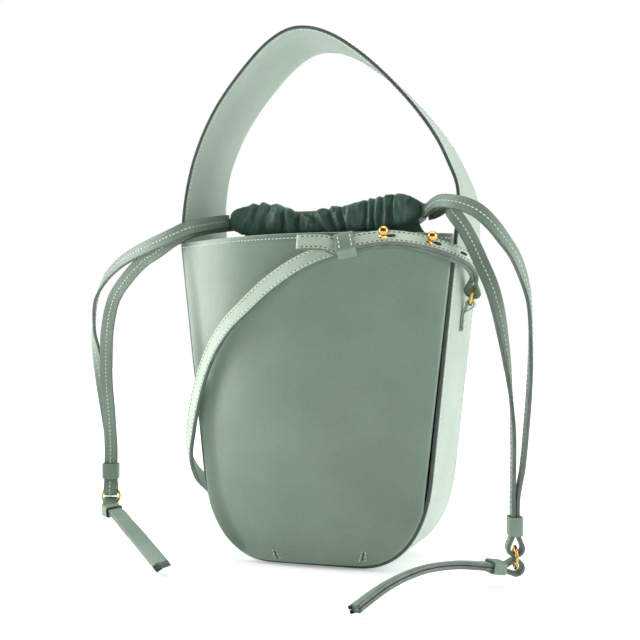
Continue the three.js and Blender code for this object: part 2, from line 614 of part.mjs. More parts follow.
function tasselKeeper({ route, width }) {
  const place = stations(route, width, 6 * (route.length - 1))[TASSEL_KEEPER_STATION];
  return sleeve(place, TASSEL_WIDTH, 2 * LEAF, TASSEL_KEEPER);
}

// Where a strap ring's wire sits, for the right side (1) or the left (-1).
function strapRingPlace(side) {
  const eye = vec(side * EYE_OUT, 0, EYE_HEIGHT);
  const lean = side > 0
    ? vec(Math.sin(RIGHT_RING_LEAN), 0, Math.cos(RIGHT_RING_LEAN))
    : vec(-Math.sin(LEFT_RING_LEAN), 0, -Math.cos(LEFT_RING_LEAN));
  const middle = eye.clone().addScaledVector(lean, STRAP_RING_RADIUS);
  return { eye, lean, middle };
}

function strapRing(side) {
  const { lean, middle } = strapRingPlace(side);
  return wireRing(middle, lean.clone().cross(vec(0, 1, 0)), STRAP_RING_RADIUS, STRAP_RING_WIRE);
}

// The leather tab sewn to the side strip, with an eye at its top for the ring.
function ringTab(side) {
  const radius = TAB_EYE + TAB_THICK / 2;
  const wall = halfWidth(EYE_HEIGHT);
  const slope = (RIM_HALF_WIDTH - BASE_HALF_WIDTH) / RIM_HEIGHT;
  const foot = (z, out) => [wall - (EYE_HEIGHT - z) * slope + out, z];
  const near = GAP + TAB_THICK / 2;
  const far = near + TAB_THICK + GAP / 2;
  const line = [foot(TAB_FOOT, far), foot(TAB_TOP, far)];
  for (const s of steps(8)) {
    const angle = lerp(-60, 200, s) * Math.PI / 180;
    line.push([EYE_OUT + radius * Math.cos(angle), EYE_HEIGHT + radius * Math.sin(angle)]);
  }
  line.push(foot(TAB_TOP + 0.5, near), foot(TAB_FOOT, near));
  return loft(line.map(([x, z], i) => {
    const [x0, z0] = line[Math.max(0, i - 1)];
    const [x1, z1] = line[Math.min(line.length - 1, i + 1)];
    const length = Math.hypot(x1 - x0, z1 - z0);
    const [nx, nz] = [(z1 - z0) / length * TAB_THICK / 2, -(x1 - x0) / length * TAB_THICK / 2];
    return CORNERS
      .map(([a, b]) => vec(side * (x + b * nx), a * TAB_WIDTH / 2, z + b * nz));
  }));
}

// Where the strap folds round a strap ring: the fold's middle, the way out of it and its width.
function strapLoopPlace(side) {
  const { lean, middle } = strapRingPlace(side);
  const angle = side > 0 ? RIGHT_LOOP_ANGLE : LEFT_LOOP_ANGLE;
  const along = lean.clone().multiplyScalar(Math.cos(angle)).add(vec(0, -side * Math.sin(angle), 0));
  const across = lean.clone().multiplyScalar(side * Math.sin(angle)).add(vec(0, Math.cos(angle), 0));
  const eye = middle.clone().addScaledVector(along, STRAP_RING_RADIUS - EYE_SHIFT);
  return { eye, along, across };
}

function strapLoop(side) {
  const { eye, along, across } = strapLoopPlace(side);
  return fold(eye, along, across, STRAP_WIDTH, STRAP_THICK, -LAYER_RISE / 2);
}

// The main run's last two points at a loop, the outermost first.
function strapEndPoints(side) {
  const { eye, along, across } = strapLoopPlace(side);
  const face = along.clone().cross(across).multiplyScalar(-side * LAYER_RISE / 2);
  const at = (distance) => eye.clone().addScaledVector(along, distance).add(face);
  return { points: [at(LEG + 3 * GAP), at(LEG + 5)].map((p) => p.toArray()), width: across.toArray() };
}

function shoulderStations() {
  const right = strapEndPoints(1);
  const left = strapEndPoints(-1);
  const route = [...right.points, ...SHOULDER_ROUTE, ...left.points.reverse()];
  const width = [right.width, right.width, ...SHOULDER_UP, left.width, left.width];
  return stations(route, width, 3 * (route.length - 1));
}

const SHOULDER = shoulderStations();

// A round hole through the strap, deep enough for its `layers`.
function holeTool(place, radius, layers) {
  const { p, n } = place;
  const length = 2 * layers * STRAP_THICK + 3;
  const tool = new THREE.CylinderGeometry(radius, radius, length, HOLE_SIDES);
  tool.applyQuaternion(new THREE.Quaternion().setFromUnitVectors(vec(0, 1, 0), n));
  tool.translate(p.x, p.y, p.z);
  return tool;
}

// The slit that lets a stud's ball through the folded-back end.
function slitTool(place) {
  const { p, t, w, n } = place;
  const tool = new THREE.BoxGeometry(SLIT_LENGTH, SLIT_WIDTH, 5 * STRAP_THICK);
  tool.applyMatrix4(new THREE.Matrix4().makeBasis(t, w, n));
  const middle = p.clone().addScaledVector(t, -SLIT_SHIFT);
  tool.translate(middle.x, middle.y, middle.z);
  return tool;
}

// The same station on the layer that lies on the main run.
function layerAbove({ p, t, w, n }) {
  return { p: p.clone().addScaledVector(n, LAYER_RISE), t, w, n };
}

function shoulderStrap() {
  const tools = STUD_STATIONS.map((s) => holeTool(SHOULDER[s], RUN_HOLE, 1));
  return cut(ribbon(SHOULDER, STRAP_WIDTH, STRAP_THICK), ...tools);
}

// The end that comes back from the right ring on top of the main run, with its holes.
function strapEnd() {
  const shared = SHOULDER.slice(0, FOLD_BACK_SHARED + 1).map(layerAbove);
  const last = shared.at(-1);
  const tip = FOLD_BACK_TIP.map((q) => ({ p: vec(...q), t: last.t, w: vec(0, 0.2, 0.98), n: last.n }));
  const tools = [...STUD_STATIONS, SPARE_HOLE_STATION].map((s) => holeTool(SHOULDER[s], END_HOLE, 2));
  const slits = STUD_STATIONS.map((s) => slitTool(SHOULDER[s]));
  return cut(ribbon([...shared, ...tip], STRAP_WIDTH, STRAP_THICK), ...tools, ...slits);
}

// The short tail of the strap's left end, sewn back on its own run.
function leftTail() {
  return ribbon(SHOULDER.slice(-TAIL_STATIONS).map(layerAbove), STRAP_WIDTH, STRAP_THICK);
}

function strapKeeper() {
  const { p, t, w, n } = SHOULDER[KEEPER_STATION];
  const middle = p.clone().addScaledVector(n, LAYER_RISE / 2);
  return sleeve({ p: middle, t, w }, STRAP_WIDTH, 2 * STRAP_THICK, STRAP_KEEPER);
}

// A profile of radius and height turned about a strap's face normal, pointing out of the bag.
function turned(profile, place) {
  const geometry = new THREE.LatheGeometry(profile.map(([r, h]) => new THREE.Vector2(r, h)), STUD_SIDES);
  const out = place.n.clone().negate();
  geometry.applyQuaternion(new THREE.Quaternion().setFromUnitVectors(vec(0, 1, 0), out));
  geometry.translate(place.p.x, place.p.y, place.p.z);
  return mergedCopy(geometry);
}

// The ball stud: a hollow neck up through both layers, and a ball.
function stud(place) {
  const face = STRAP_THICK / 2 + GAP;
  const top = face + STRAP_THICK + STUD_RISE;
  const bore = STUD_NECK - STUD_WALL;
  const bottom = face - BORE_DEPTH;
  const roof = face + STUD_WALL;
  const profile = [[0, roof], [bore, roof], [bore, bottom], [STUD_NECK, bottom], [STUD_NECK, top]];
  for (const s of steps(6)) {
    const angle = lerp(-50, 90, s) * Math.PI / 180;
    profile.push([STUD_RADIUS * Math.cos(angle), top + BALL_RISE + STUD_RADIUS * Math.sin(angle)]);
  }
  profile[profile.length - 1][0] = 0;
  return turned(profile, place);
}

// The screw behind the stud, its head between the strap and the front panel.
function studScrew(place) {
  const back = -(STRAP_THICK / 2 + GAP);
  const stem = STUD_NECK / 2;
  const tip = back + SCREW_REACH;
  return turned([
    [0, back - 1], [SCREW_HEAD, back - 1], [SCREW_HEAD, back], [stem, back], [stem, tip], [0, tip],
  ], place);
}

// ---- the assembly ----

const LEATHER = { color: 0x9db8a8, roughness: 0.45, metalness: 0 };
const SIDE_LEATHER = { color: 0xc9d6cc, roughness: 0.45, metalness: 0 };
const STRAP_LEATHER = { color: 0xa9c4b0, roughness: 0.5, metalness: 0 };
const LINING = { color: 0xaabdb2, roughness: 0.6, metalness: 0 };
const POUCH_LEATHER = { color: 0x3b5548, roughness: 0.5, metalness: 0 };
const GOLD = { color: 0xd7b25c, roughness: 0.2, metalness: 1 };
const BOARD = { color: 0x4a4a48, roughness: 0.9, metalness: 0 };

const bag = new THREE.Group();

function add(name, geometry, finish) {
  const mesh = new THREE.Mesh(geometry, new THREE.MeshStandardMaterial(finish));
  mesh.name = name;
  bag.add(mesh);
}

add('front_panel', panel(-1), LEATHER);
add('back_panel', panel(1), LEATHER);
add('left_gusset', strip(0, 0.8, -1, 16), SIDE_LEATHER);
add('right_gusset', strip(0, 0.8, 1, 16), SIDE_LEATHER);
add('base_panel', basePanel(), SIDE_LEATHER);
add('base_board', baseBoard(), BOARD);
add('handle_strap', handleLayer(0), SIDE_LEATHER);
add('handle_lining', handleLayer(LEAF_THICK + GAP), LINING);
add('pouch_floor', pouchFloor(), POUCH_LEATHER);
for (const [name, side] of [['front', -1], ['rear', 1]]) {
  add(`pouch_lower_${name}`, pouchLower(side), POUCH_LEATHER);
  add(`pouch_upper_${name}`, pouchUpper(side), POUCH_LEATHER);
  add(`pouch_neck_${name}`, pouchSheet(side, POUCH_SHOULDER), POUCH_LEATHER);
  add(`pouch_collar_${name}`, collarHalf(side), POUCH_LEATHER);
  add(`drawstring_channel_${name}`, channelCord(side), STRAP_LEATHER);
}

add('drawstring_left_front', drawstringRun(LEFT_FRONT_ROUTE, LEFT_FRONT_WIDTH), STRAP_LEATHER);
add('drawstring_left_rear', drawstringRun(LEFT_REAR_ROUTE, LEFT_REAR_WIDTH), STRAP_LEATHER);
add('drawstring_right_front', drawstringRun(RIGHT_FRONT_ROUTE, RIGHT_FRONT_WIDTH), STRAP_LEATHER);
add('drawstring_right_rear', drawstringRun(RIGHT_REAR_ROUTE, RIGHT_REAR_WIDTH), STRAP_LEATHER);

for (const [side, hang, tassel] of [['left', LEFT_HANG, LEFT_TASSEL], ['right', RIGHT_HANG, RIGHT_TASSEL]]) {
  add(`${side}_drawstring_loop`, drawstringLoop(hang), STRAP_LEATHER);
  add(`${side}_drawstring_keeper`, drawstringKeeper(hang, hang.top + KEEPER_RISE), STRAP_LEATHER);
  add(`${side}_tassel_ring`, tasselRing(hang), GOLD);
  add(`${side}_tassel_strap`, tasselStrap(tassel), STRAP_LEATHER);
  add(`${side}_tassel_keeper`, tasselKeeper(tassel), STRAP_LEATHER);
}

for (const [name, side] of [['right', 1], ['left', -1]]) {
  add(`${name}_ring_tab`, ringTab(side), SIDE_LEATHER);
  add(`${name}_strap_ring`, strapRing(side), GOLD);
  add(`${name}_strap_loop`, strapLoop(side), STRAP_LEATHER);
}

add('shoulder_strap', shoulderStrap(), STRAP_LEATHER);
add('strap_end', strapEnd(), STRAP_LEATHER);
add('strap_left_tail', leftTail(), STRAP_LEATHER);
add('strap_keeper', strapKeeper(), STRAP_LEATHER);
STUD_STATIONS.forEach((s, i) => {
  add(`stud_${i + 1}`, stud(SHOULDER[s]), GOLD);
  add(`stud_screw_${i + 1}`, studScrew(SHOULDER[s]), GOLD);
});

export default bag;
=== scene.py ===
"""The looks of the leather bucket bag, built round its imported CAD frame.

Shapes are worked out in millimetres in the CAD's frame, and make_mesh turns them into metres.
"""
import math
import random

import bpy
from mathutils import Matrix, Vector, noise
from mathutils.kdtree import KDTree


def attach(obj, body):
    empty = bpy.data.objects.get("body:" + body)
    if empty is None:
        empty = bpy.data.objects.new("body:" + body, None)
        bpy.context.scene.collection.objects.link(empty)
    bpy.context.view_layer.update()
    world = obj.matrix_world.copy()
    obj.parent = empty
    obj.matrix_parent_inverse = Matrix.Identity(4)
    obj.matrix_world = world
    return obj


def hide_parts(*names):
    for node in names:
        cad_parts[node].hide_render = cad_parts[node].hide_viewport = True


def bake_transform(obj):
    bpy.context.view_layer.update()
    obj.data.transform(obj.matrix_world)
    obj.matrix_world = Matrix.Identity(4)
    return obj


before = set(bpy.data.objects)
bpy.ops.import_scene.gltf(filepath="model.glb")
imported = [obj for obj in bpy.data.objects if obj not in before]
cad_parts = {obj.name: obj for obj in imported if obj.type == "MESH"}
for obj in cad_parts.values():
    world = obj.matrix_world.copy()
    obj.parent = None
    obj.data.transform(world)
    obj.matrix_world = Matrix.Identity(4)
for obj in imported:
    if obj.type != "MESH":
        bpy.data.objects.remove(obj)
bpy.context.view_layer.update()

TO_METRES = 0.001

# ---- driving dimensions in millimetres, as in the CAD ----

RIM_HEIGHT = 228
RIM_HALF_WIDTH = 102.5
BASE_HALF_WIDTH = 78.3
FLAT_HALF = 30
CORNER_HEIGHT = 66
CORNER_POWER = 2.4
SIDE_HALF_TOP = 40
SIDE_HALF_BASE = 37
BULGE = 38
BULGE_POWER = 0.45
STRIP_THICK = 3
PANEL_THICK = 2
APEX_HALF = 32
HANDLE_TAPER = 75
HANDLE_LINE = [
    (-102.5, 228), (-103.2, 248), (-101.5, 270), (-95.5, 295), (-80, 326.5), (-57, 355),
    (-37, 373), (-20.5, 380.3), (-5, 379.6), (11.5, 373), (28.5, 361.3), (44, 347.8), (60, 331),
    (74.5, 313.5), (87, 295), (96, 276.5), (101.6, 262), (103.2, 246), (102.5, 228),
]

CORD_WIDTH = 9.8
CORD_THICK = 2.4
STRAP_WIDTH = 10.5
STRAP_THICK = 3
LEAF = 2.2
TASSEL_WIDTH = 10.2
TASSEL_SLANT = 7
RING_RADIUS = 7
RING_WIRE = 0.9
STRAP_RING_RADIUS = 7.4
STRAP_RING_WIRE = 1.1
EYE_RADIUS = 3.4
EYE_SHIFT = 0.9
EYE_OUT = 103.2
EYE_HEIGHT = 182.5
TAB_WIDTH = 6.4
TAB_THICK = 1.2
TAB_EYE = 2.3
RIGHT_RING_LEAN = math.radians(18)
LEFT_RING_LEAN = math.radians(20)
RIGHT_LOOP_ANGLE = math.radians(45)
LEFT_LOOP_ANGLE = math.radians(48)
KEEPER_RISE = 13
LEG = 9
LAYER_RISE = -(STRAP_THICK + 0.5)
STUD_STATIONS = (16, 22)
SPARE_HOLE_STATION = 10
KEEPER_STATION = 27
FOLD_BACK_SHARED = 29
TAIL_STATIONS = 7

# ---- dimensions of the looks alone ----

PANEL_INSET_LEFT = 2.5  # from the bag's outline to a panel's edge
PANEL_INSET_RIGHT = 2.3
SWELL_REACH = 14  # how far in from its edge a panel stands proud of the CAD's
ROLL = 1.2  # radius of a panel's rolled edge
HANDLE_THICK = 2.3
STRAP_CROWN = 0.12  # how far a strap's face bulges
STITCH_PITCH = 3.2
CORD_STITCH_PITCH = 3.1
RIM_STITCH_PITCH = 2.8
EDGE_ROW_INSET = 1.7  # from a strap's edge to its row of stitches
STRIP_ROW_INSET = 2.7
STITCH_LIFT = 0.15
BASE_STITCH_SINK = 0.45  # the stitches under the base are pressed in
PER_SEGMENT = 8  # places between two points of a drawstring's or a tassel's route
SHOULDER_PER_SEGMENT = 6
PER_STATION = 2  # places on the shoulder strap between two of its stations
POUCH_CLEAR = 4  # from the strip's or a panel's inner side to the pouch

# ---- routes ----
# Each route is a strap's middle line. The list after it says which way the strap's width
# points at each of those places.

SHOULDER_ROUTE = [
    (107.6, -26, 208), (105, -39.5, 211), (98.5, -50.5, 213.8),
    (90, -58.6, 216.6), (78, -66, 219.6), (65, -72.5, 221), (51, -78, 219.8), (38, -81.6, 217.4),
    (26, -84, 214.4), (12, -85.3, 209.6), (-2, -85, 202.6), (-18, -82.6, 192.6), (-37, -77, 178.4),
    (-50, -71.8, 168.6), (-65, -63.6, 152.6), (-76.5, -56, 135), (-86, -49.2, 113), (-91.5, -45.2, 92),
    (-93.8, -41.5, 75), (-93, -32.5, 61), (-90.6, -19, 51), (-90.5, -2, 42), (-89.6, 18, 30),
    (-80, 46, 16.5), (-56, 70, 8.5), (-26, 84, 5.8), (4, 90, 5.6), (24, 97.5, 5.6), (32.5, 110, 5.6),
    (24, 122, 5.6), (4, 126.5, 5.6), (-30, 125, 5.6), (-62, 118.5, 5.6), (-88, 104, 8),
    (-105, 82, 15), (-114, 58, 33), (-117, 44, 66), (-115, 38, 108), (-112, 28, 142),
]
SHOULDER_UP = [
    (0, 0.5, 0.86), (-0.15, 0.5, 0.85), (-0.25, 0.52, 0.82),
    (-0.3, 0.55, 0.78), (-0.2, 0.6, 0.78), (-0.08, 0.6, 0.8), (0, 0.55, 0.83), (-0.1, 0.4, 0.9),
    (-0.25, 0.2, 0.95), (-0.4, 0.1, 0.9), (-0.5, 0.06, 0.84), (-0.6, 0.05, 0.78), (-0.62, 0.12, 0.76),
    (-0.65, 0.2, 0.7), (-0.75, 0.35, 0.6), (-0.82, 0.45, 0.4), (-0.85, 0.5, 0.15), (-0.8, 0.6, 0),
    (-0.55, 0.8, 0.15), (-0.2, 0.8, 0.6), (0, 0.5, 0.87), (0, 0.3, 0.95), (0, 0.25, 0.97),
    (0, 0.2, 0.98), (0, 0.1, 1),
] + [(0, 0, 1)] * 9 + [
    (0.1, 0.3, 0.95), (0.1, 0.7, 0.7), (0.05, 0.9, 0.4), (0.05, 0.9, 0.4), (0.1, 0.8, 0.6),
]
FOLD_BACK_TIP = [(27, -87.6, 219.4), (17, -88.8, 220.4), (7, -89.2, 220.4)]

LEFT_FRONT_ROUTE = [
    (-78.2, -8.4, 247), (-81, -12, 246.6), (-84.5, -26, 243.8), (-88.5, -39, 240.8), (-94, -47.5, 238),
    (-102, -50.6, 234), (-121, -48, 227.6), (-140, -42, 221.8), (-157, -35, 215), (-173, -28, 204.5),
    (-185, -21.5, 189), (-190.5, -15.5, 166), (-191.2, -10, 148), (-190, -5.5, 126), (-187, -2.6, 103),
    (-183.6, -1.6, 78), (-183.4, -1.6, 51.4),
]
LEFT_FRONT_WIDTH = [(0, 0, 1)] * 6 + [
    (-0.1, 0.1, 1), (-0.2, 0.3, 0.9), (-0.4, 0.5, 0.75), (-0.5, 0.7, 0.5), (-0.4, 0.9, 0.1),
    (-0.6, 0.8, 0), (-0.9, 0.4, 0), (-0.98, 0, 0),
] + [(-0.943, -0.332, 0)] * 3
LEFT_REAR_ROUTE = [
    (-78.2, 8.4, 247), (-81.4, 6.4, 246.6), (-86, -8, 244), (-90.5, -27, 240.4), (-94.5, -40.5, 236.4),
    (-100, -45.3, 233), (-107, -45.8, 229.4), (-119, -43.4, 223), (-133.5, -39.6, 216.4),
    (-151, -35, 203), (-165, -29, 188.5), (-174.6, -22, 166), (-178.6, -17, 148), (-181.2, -12.5, 126),
    (-181.8, -8, 103), (-182.3, -4.4, 78), (-182.4, -4.4, 51.4),
]
LEFT_REAR_WIDTH = [(0, 0, 1)] * 6 + [
    (-0.1, 0, 1), (-0.3, -0.1, 0.9), (-0.45, -0.15, 0.8), (-0.6, -0.2, 0.7), (-0.75, -0.25, 0.5),
    (-0.9, -0.32, 0.2),
] + [(-0.943, -0.332, 0)] * 5
RIGHT_FRONT_ROUTE = [
    (71.2, -8.4, 248.2), (74.4, -11, 248.5), (79.5, -22, 249.2), (86.5, -36, 249.6), (94, -48, 248.8),
    (102, -54.4, 247), (110, -57.4, 244.6), (119, -59, 240), (128, -58.6, 231.4), (136, -58, 220.6),
    (142, -57.6, 211.5), (148, -57.2, 196), (151.4, -57, 180), (152.2, -56.6, 152),
    (151.4, -56.2, 128), (149.6, -55.6, 104), (146.8, -54.6, 76), (143.4, -53.7, 56),
    (143.4, -53.7, 35.4),
]
RIGHT_FRONT_WIDTH = [
    (0, 0, 1), (0, 0.15, 1), (0, 0.4, 0.9), (0, 0.5, 0.86), (0, 0.5, 0.86), (0, 0.4, 0.9),
    (0.1, 0.2, 1), (0.3, 0.2, 0.9), (0.5, 0.5, 0.7), (0.5, 0.7, 0.5), (0.45, 0.8, 0.3),
    (0.3, 0.9, 0.1), (0, 1, 0), (-0.2, 0.98, 0),
] + [(-0.332, 0.943, 0)] * 5
RIGHT_REAR_ROUTE = [
    (71.2, 8.4, 248.6), (76, 6.6, 249.4), (84.5, -4, 251), (91, -19, 251.4), (95, -33, 248.4),
    (100.5, -45.6, 241), (108, -49, 231), (114.5, -51.6, 219.5), (121, -53.6, 205.8),
    (127, -54.6, 192), (131, -55, 178.4), (135, -55.2, 157), (138, -55.2, 136), (140, -55.2, 116),
    (141, -55, 98), (141, -54.8, 76), (140.6, -54.7, 56), (140.6, -54.7, 35.4),
]
RIGHT_REAR_WIDTH = [(0, 0, 1)] * 4 + [
    (0.2, 0.05, 1), (0.6, 0.2, 0.75), (0.85, 0.3, 0.35), (0.92, 0.32, 0.2), (0.92, 0.33, 0.1),
    (0.85, 0.5, 0), (0.7, 0.7, 0), (0.4, 0.9, 0), (0.1, 1, 0), (-0.2, 0.98, 0),
] + [(-0.332, 0.943, 0)] * 4
LEFT_HANG = {"x": -182.9, "y": -3, "top": 42, "across": (-0.943, -0.332, 0)}
RIGHT_HANG = {"x": 142, "y": -54.2, "top": 26, "across": (-0.332, 0.943, 0)}
LEFT_TASSEL = [
    (-182.9, -3, 28), (-180.8, -9.8, 26.4), (-165.9, -22.2, 25.2), (-141.3, -48.8, 21.6),
    (-120.9, -68.6, 17.2), (-102.2, -85.8, 11.8), (-81.7, -105.2, 6.6),
]
LEFT_TASSEL_WIDTH = [
    (-0.943, -0.332, 0), (-0.94, -0.34, -0.02), (-0.9, -0.42, -0.1), (-0.87, -0.44, -0.2),
    (-0.82, -0.43, -0.34), (-0.77, -0.41, -0.45), (-0.75, -0.4, -0.5),
]
RIGHT_TASSEL = [
    (142, -54.2, 12), (135.5, -56.5, 12.4), (125.5, -64.2, 14), (109.2, -78, 16.4),
    (94.2, -95.4, 16.4), (84.5, -114.8, 14.6), (77.4, -134.2, 11.8), (68.7, -166.5, 5.6),
]
RIGHT_TASSEL_WIDTH = [
    (-0.332, 0.943, 0), (-0.34, 0.94, 0), (-0.42, 0.9, -0.04), (-0.5, 0.85, -0.14),
    (-0.6, 0.78, -0.22), (-0.66, 0.7, -0.28), (-0.7, 0.66, -0.3), (-0.74, 0.6, -0.28),
]

UP = Vector((0, 0, 1))


# ---- small maths ----

def lerp(a, b, t):
    return a + (b - a) * t


def clamp(value, low=0.0, high=1.0):
    return max(low, min(high, value))


def smooth(t):
    t = clamp(t)
    return t * t * (3 - 2 * t)


def steps(count):
    return [i / count for i in range(count + 1)]


def spline(points, per_segment):
    """Points along a centripetal Catmull-Rom curve through the given ones."""
    given = [Vector(p) for p in points]
    ends = [2 * given[0] - given[1]] + given + [2 * given[-1] - given[-2]]
    line = []
    for i in range(1, len(ends) - 2):
        p0, p1, p2, p3 = ends[i - 1:i + 3]
        d1 = max((p2 - p1).length ** 0.5, 1e-4)
        d0 = max((p1 - p0).length ** 0.5, 1e-4) if (p1 - p0).length > 1e-4 else d1
        d2 = max((p3 - p2).length ** 0.5, 1e-4) if (p3 - p2).length > 1e-4 else d1
        m1 = ((p1 - p0) / d0 - (p2 - p0) / (d0 + d1) + (p2 - p1) / d1) * d1
        m2 = ((p2 - p1) / d1 - (p3 - p1) / (d1 + d2) + (p3 - p2) / d2) * d1
        last = i == len(ends) - 3
        for k in range(per_segment + (1 if last else 0)):
            t = k / per_segment
            line.append(
                p1 * (2 * t**3 - 3 * t**2 + 1) + m1 * (t**3 - 2 * t**2 + t)
                + p2 * (-2 * t**3 + 3 * t**2) + m2 * (t**3 - t**2)
            )
    return line


def tangents(line):
    last = len(line) - 1
    return [(line[min(i + 1, last)] - line[max(i - 1, 0)]).normalized() for i in range(last + 1)]


def stations(route, widths, per_segment):
    """Middle, direction, width direction and face direction at places along a strap."""
    line = spline(route, per_segment)
    hints = spline(widths, per_segment)
    found = []
    for p, t, hint in zip(line, tangents(line), hints):
        w = (hint - t * hint.dot(t)).normalized()
        found.append((p, t, w, t.cross(w).normalized()))
    return found


def line_length(line):
    return sum((b - a).length for a, b in zip(line, line[1:]))


# ---- the bag's own shape ----

def side_half(z):
    return lerp(SIDE_HALF_BASE, SIDE_HALF_TOP, z / RIM_HEIGHT)


SIDE_END = 0.55  # where the straight side ends along half the outline
CORNER_END = 0.9  # and where its corner does


def outline_point(s):
    """Half the outline seen from the front, from the rim (0) to the middle of the base (1)."""
    if s <= SIDE_END:
        z = lerp(RIM_HEIGHT, CORNER_HEIGHT, s / SIDE_END)
        return lerp(BASE_HALF_WIDTH, RIM_HALF_WIDTH, z / RIM_HEIGHT), z
    if s <= CORNER_END:
        angle = (s - SIDE_END) / (CORNER_END - SIDE_END) * math.pi / 2
        z = CORNER_HEIGHT * (1 - math.sin(angle) ** (2 / CORNER_POWER))
        inset = (BASE_HALF_WIDTH - FLAT_HALF) * (1 - max(0, math.cos(angle)) ** (2 / CORNER_POWER))
        return lerp(BASE_HALF_WIDTH, RIM_HALF_WIDTH, z / RIM_HEIGHT) - inset, z
    return FLAT_HALF * (1 - s) / (1 - CORNER_END), 0


def inset_point(s, distance):
    """The outline moved inwards."""
    x, z = outline_point(s)
    if s >= CORNER_END:
        return x, distance
    reach = 0.002
    x0, z0 = outline_point(max(0, s - reach))
    x1, z1 = outline_point(min(0.8999, s + reach))
    length = math.hypot(x1 - x0, z1 - z0)
    return x + (z1 - z0) / length * distance, z - (x1 - x0) / length * distance


def half_width(z):
    drop = clamp((CORNER_HEIGHT - z) / CORNER_HEIGHT)
    inset = (BASE_HALF_WIDTH - FLAT_HALF) * (1 - (1 - drop**CORNER_POWER) ** (1 / CORNER_POWER))
    return lerp(BASE_HALF_WIDTH, RIM_HALF_WIDTH, z / RIM_HEIGHT) - inset


def panel_depth(x, z):
    crown = clamp(1 - (x / half_width(z)) ** 2)
    return side_half(z) + BULGE * clamp(z / RIM_HEIGHT) ** BULGE_POWER * crown


# ---- mesh building ----

def make_mesh(name, verts, faces, materials, bands=None, body="bag", slot=None, subdivide=0):
    """A smooth mesh object from millimetre points; `bands` gives each face's material."""
    mesh = bpy.data.meshes.new(name)
    mesh.from_pydata([v * TO_METRES for v in map(Vector, verts)], [], faces)
    for material in materials:
        mesh.materials.append(material)
    if bands:
        mesh.polygons.foreach_set("material_index", bands)
    mesh.polygons.foreach_set("use_smooth", [True] * len(mesh.polygons))
    mesh.validate()
    obj = bpy.data.objects.new(name, mesh)
    bpy.context.collection.objects.link(obj)
    if subdivide:
        modifier = obj.modifiers.new("smooth", "SUBSURF")
        modifier.levels = subdivide
        modifier.render_levels = subdivide
    if body:
        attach(obj, body)
    return obj


def tube_faces(rings, size, closed=False):
    faces = []
    for i in range(rings if closed else rings - 1):
        a = i * size
        b = (i + 1) % rings * size
        faces += [(a + j, a + (j + 1) % size, b + (j + 1) % size, b + j) for j in range(size)]
    if not closed:
        faces.append(tuple(range(size))[::-1])
        faces.append(tuple((rings - 1) * size + j for j in range(size)))
    return faces


def sweep(name, rings, materials, ring_bands=None, closed=False, cap_band=0, **options):
    """Rings of points joined side by side; `ring_bands` gives the material round each ring."""
    size = len(rings[0])
    faces = tube_faces(len(rings), size, closed)
    bands = None
    if ring_bands:
        spans = len(rings) if closed else len(rings) - 1
        bands = ring_bands * spans + [cap_band] * (len(faces) - size * spans)
    return make_mesh(name, [p for ring in rings for p in ring], faces, materials, bands, **options)


def strap_profile(width, thick, crown, soft=0.55):
    """A strap's cross-section: across, up and which material, its edges rounded."""
    half = width / 2
    flat = half - soft
    places = [-1, -0.75, -0.35, 0, 0.35, 0.75, 1]
    top = [(flat * a, thick / 2 + crown * (1 - a * a), 0) for a in places]
    bottom = [(flat * a, -thick / 2, 0) for a in reversed(places)]
    side = [(half - soft * 0.25, thick / 2 - soft * 0.3, 1), (half, thick / 2 - soft, 1), (half, 0, 1)]
    right = side + [(a, -b, 1) for a, b, _ in reversed(side[:2])]
    left = [(-a, -b, 1) for a, b, _ in right]
    return top + right + bottom + left


def profile_bands(profile):
    """A face between two profile points takes the edge material if either point is an edge."""
    size = len(profile)
    pairs = [(profile[j][2], profile[(j + 1) % size][2]) for j in range(size)]
    return [1 if 1 in pair else pair[0] for pair in pairs]


def place_profile(station, profile):
    p, _, w, n = station
    return [p + w * a + n * b for a, b, _ in profile]


def strap(name, places, width, thick, materials, crown=STRAP_CROWN, **options):
    profile = strap_profile(width, thick, crown)
    rings = [place_profile(place, profile) for place in places]
    return sweep(name, rings, materials, profile_bands(profile), cap_band=1, **options)


def resample(line, ups, pitch, start=0.0, end=0.0):
    """Places at an even pitch along a line: point, direction and up."""
    total = line_length(line)
    count = max(1, round((total - start - end) / pitch))
    wanted = [start + (total - start - end) * (i + 0.5) / count for i in range(count)]
    found = []
    run = 0.0
    index = 0
    for goal in wanted:
        while index < len(line) - 2 and run + (line[index + 1] - line[index]).length < goal:
            run += (line[index + 1] - line[index]).length
            index += 1
        span = line[index + 1] - line[index]
        t = clamp((goal - run) / max(span.length, 1e-6))
        up = ups[index].lerp(ups[index + 1], t)
        direction = span.normalized()
        up = (up - direction * up.dot(direction)).normalized()
        found.append((line[index] + span * t, direction, up))
    return found


BEAD_RINGS = [(-0.5, 0.35), (-0.33, 0.95), (0.33, 0.95), (0.5, 0.35)]


def beads(name, places, length, thick, material, sink=0.25, seed=3, **options):
    """Stitches: one small rounded bead of thread lying along the surface at each place."""
    rng = random.Random(seed)
    sides = 6
    verts = []
    faces = []
    for p, direction, up in places:
        across = up.cross(direction).normalized()
        turn = rng.uniform(-0.05, 0.05)
        along = (direction * math.cos(turn) + across * math.sin(turn)).normalized()
        side = up.cross(along)
        reach = length * rng.uniform(0.94, 1.04)
        base = len(verts)
        for offset, fatness in BEAD_RINGS:
            middle = p + along * offset * reach - up * (offset * 2) ** 2 * thick * sink
            for k in range(sides):
                angle = 2 * math.pi * k / sides
                radius = thick / 2 * fatness
                verts.append(
                    middle + side * radius * math.cos(angle) + up * radius * 0.9 * math.sin(angle)
                )
        faces += [
            tuple(base + v for v in face) for face in tube_faces(len(BEAD_RINGS), sides)
        ]
    return make_mesh(name, verts, faces, [material], **options)


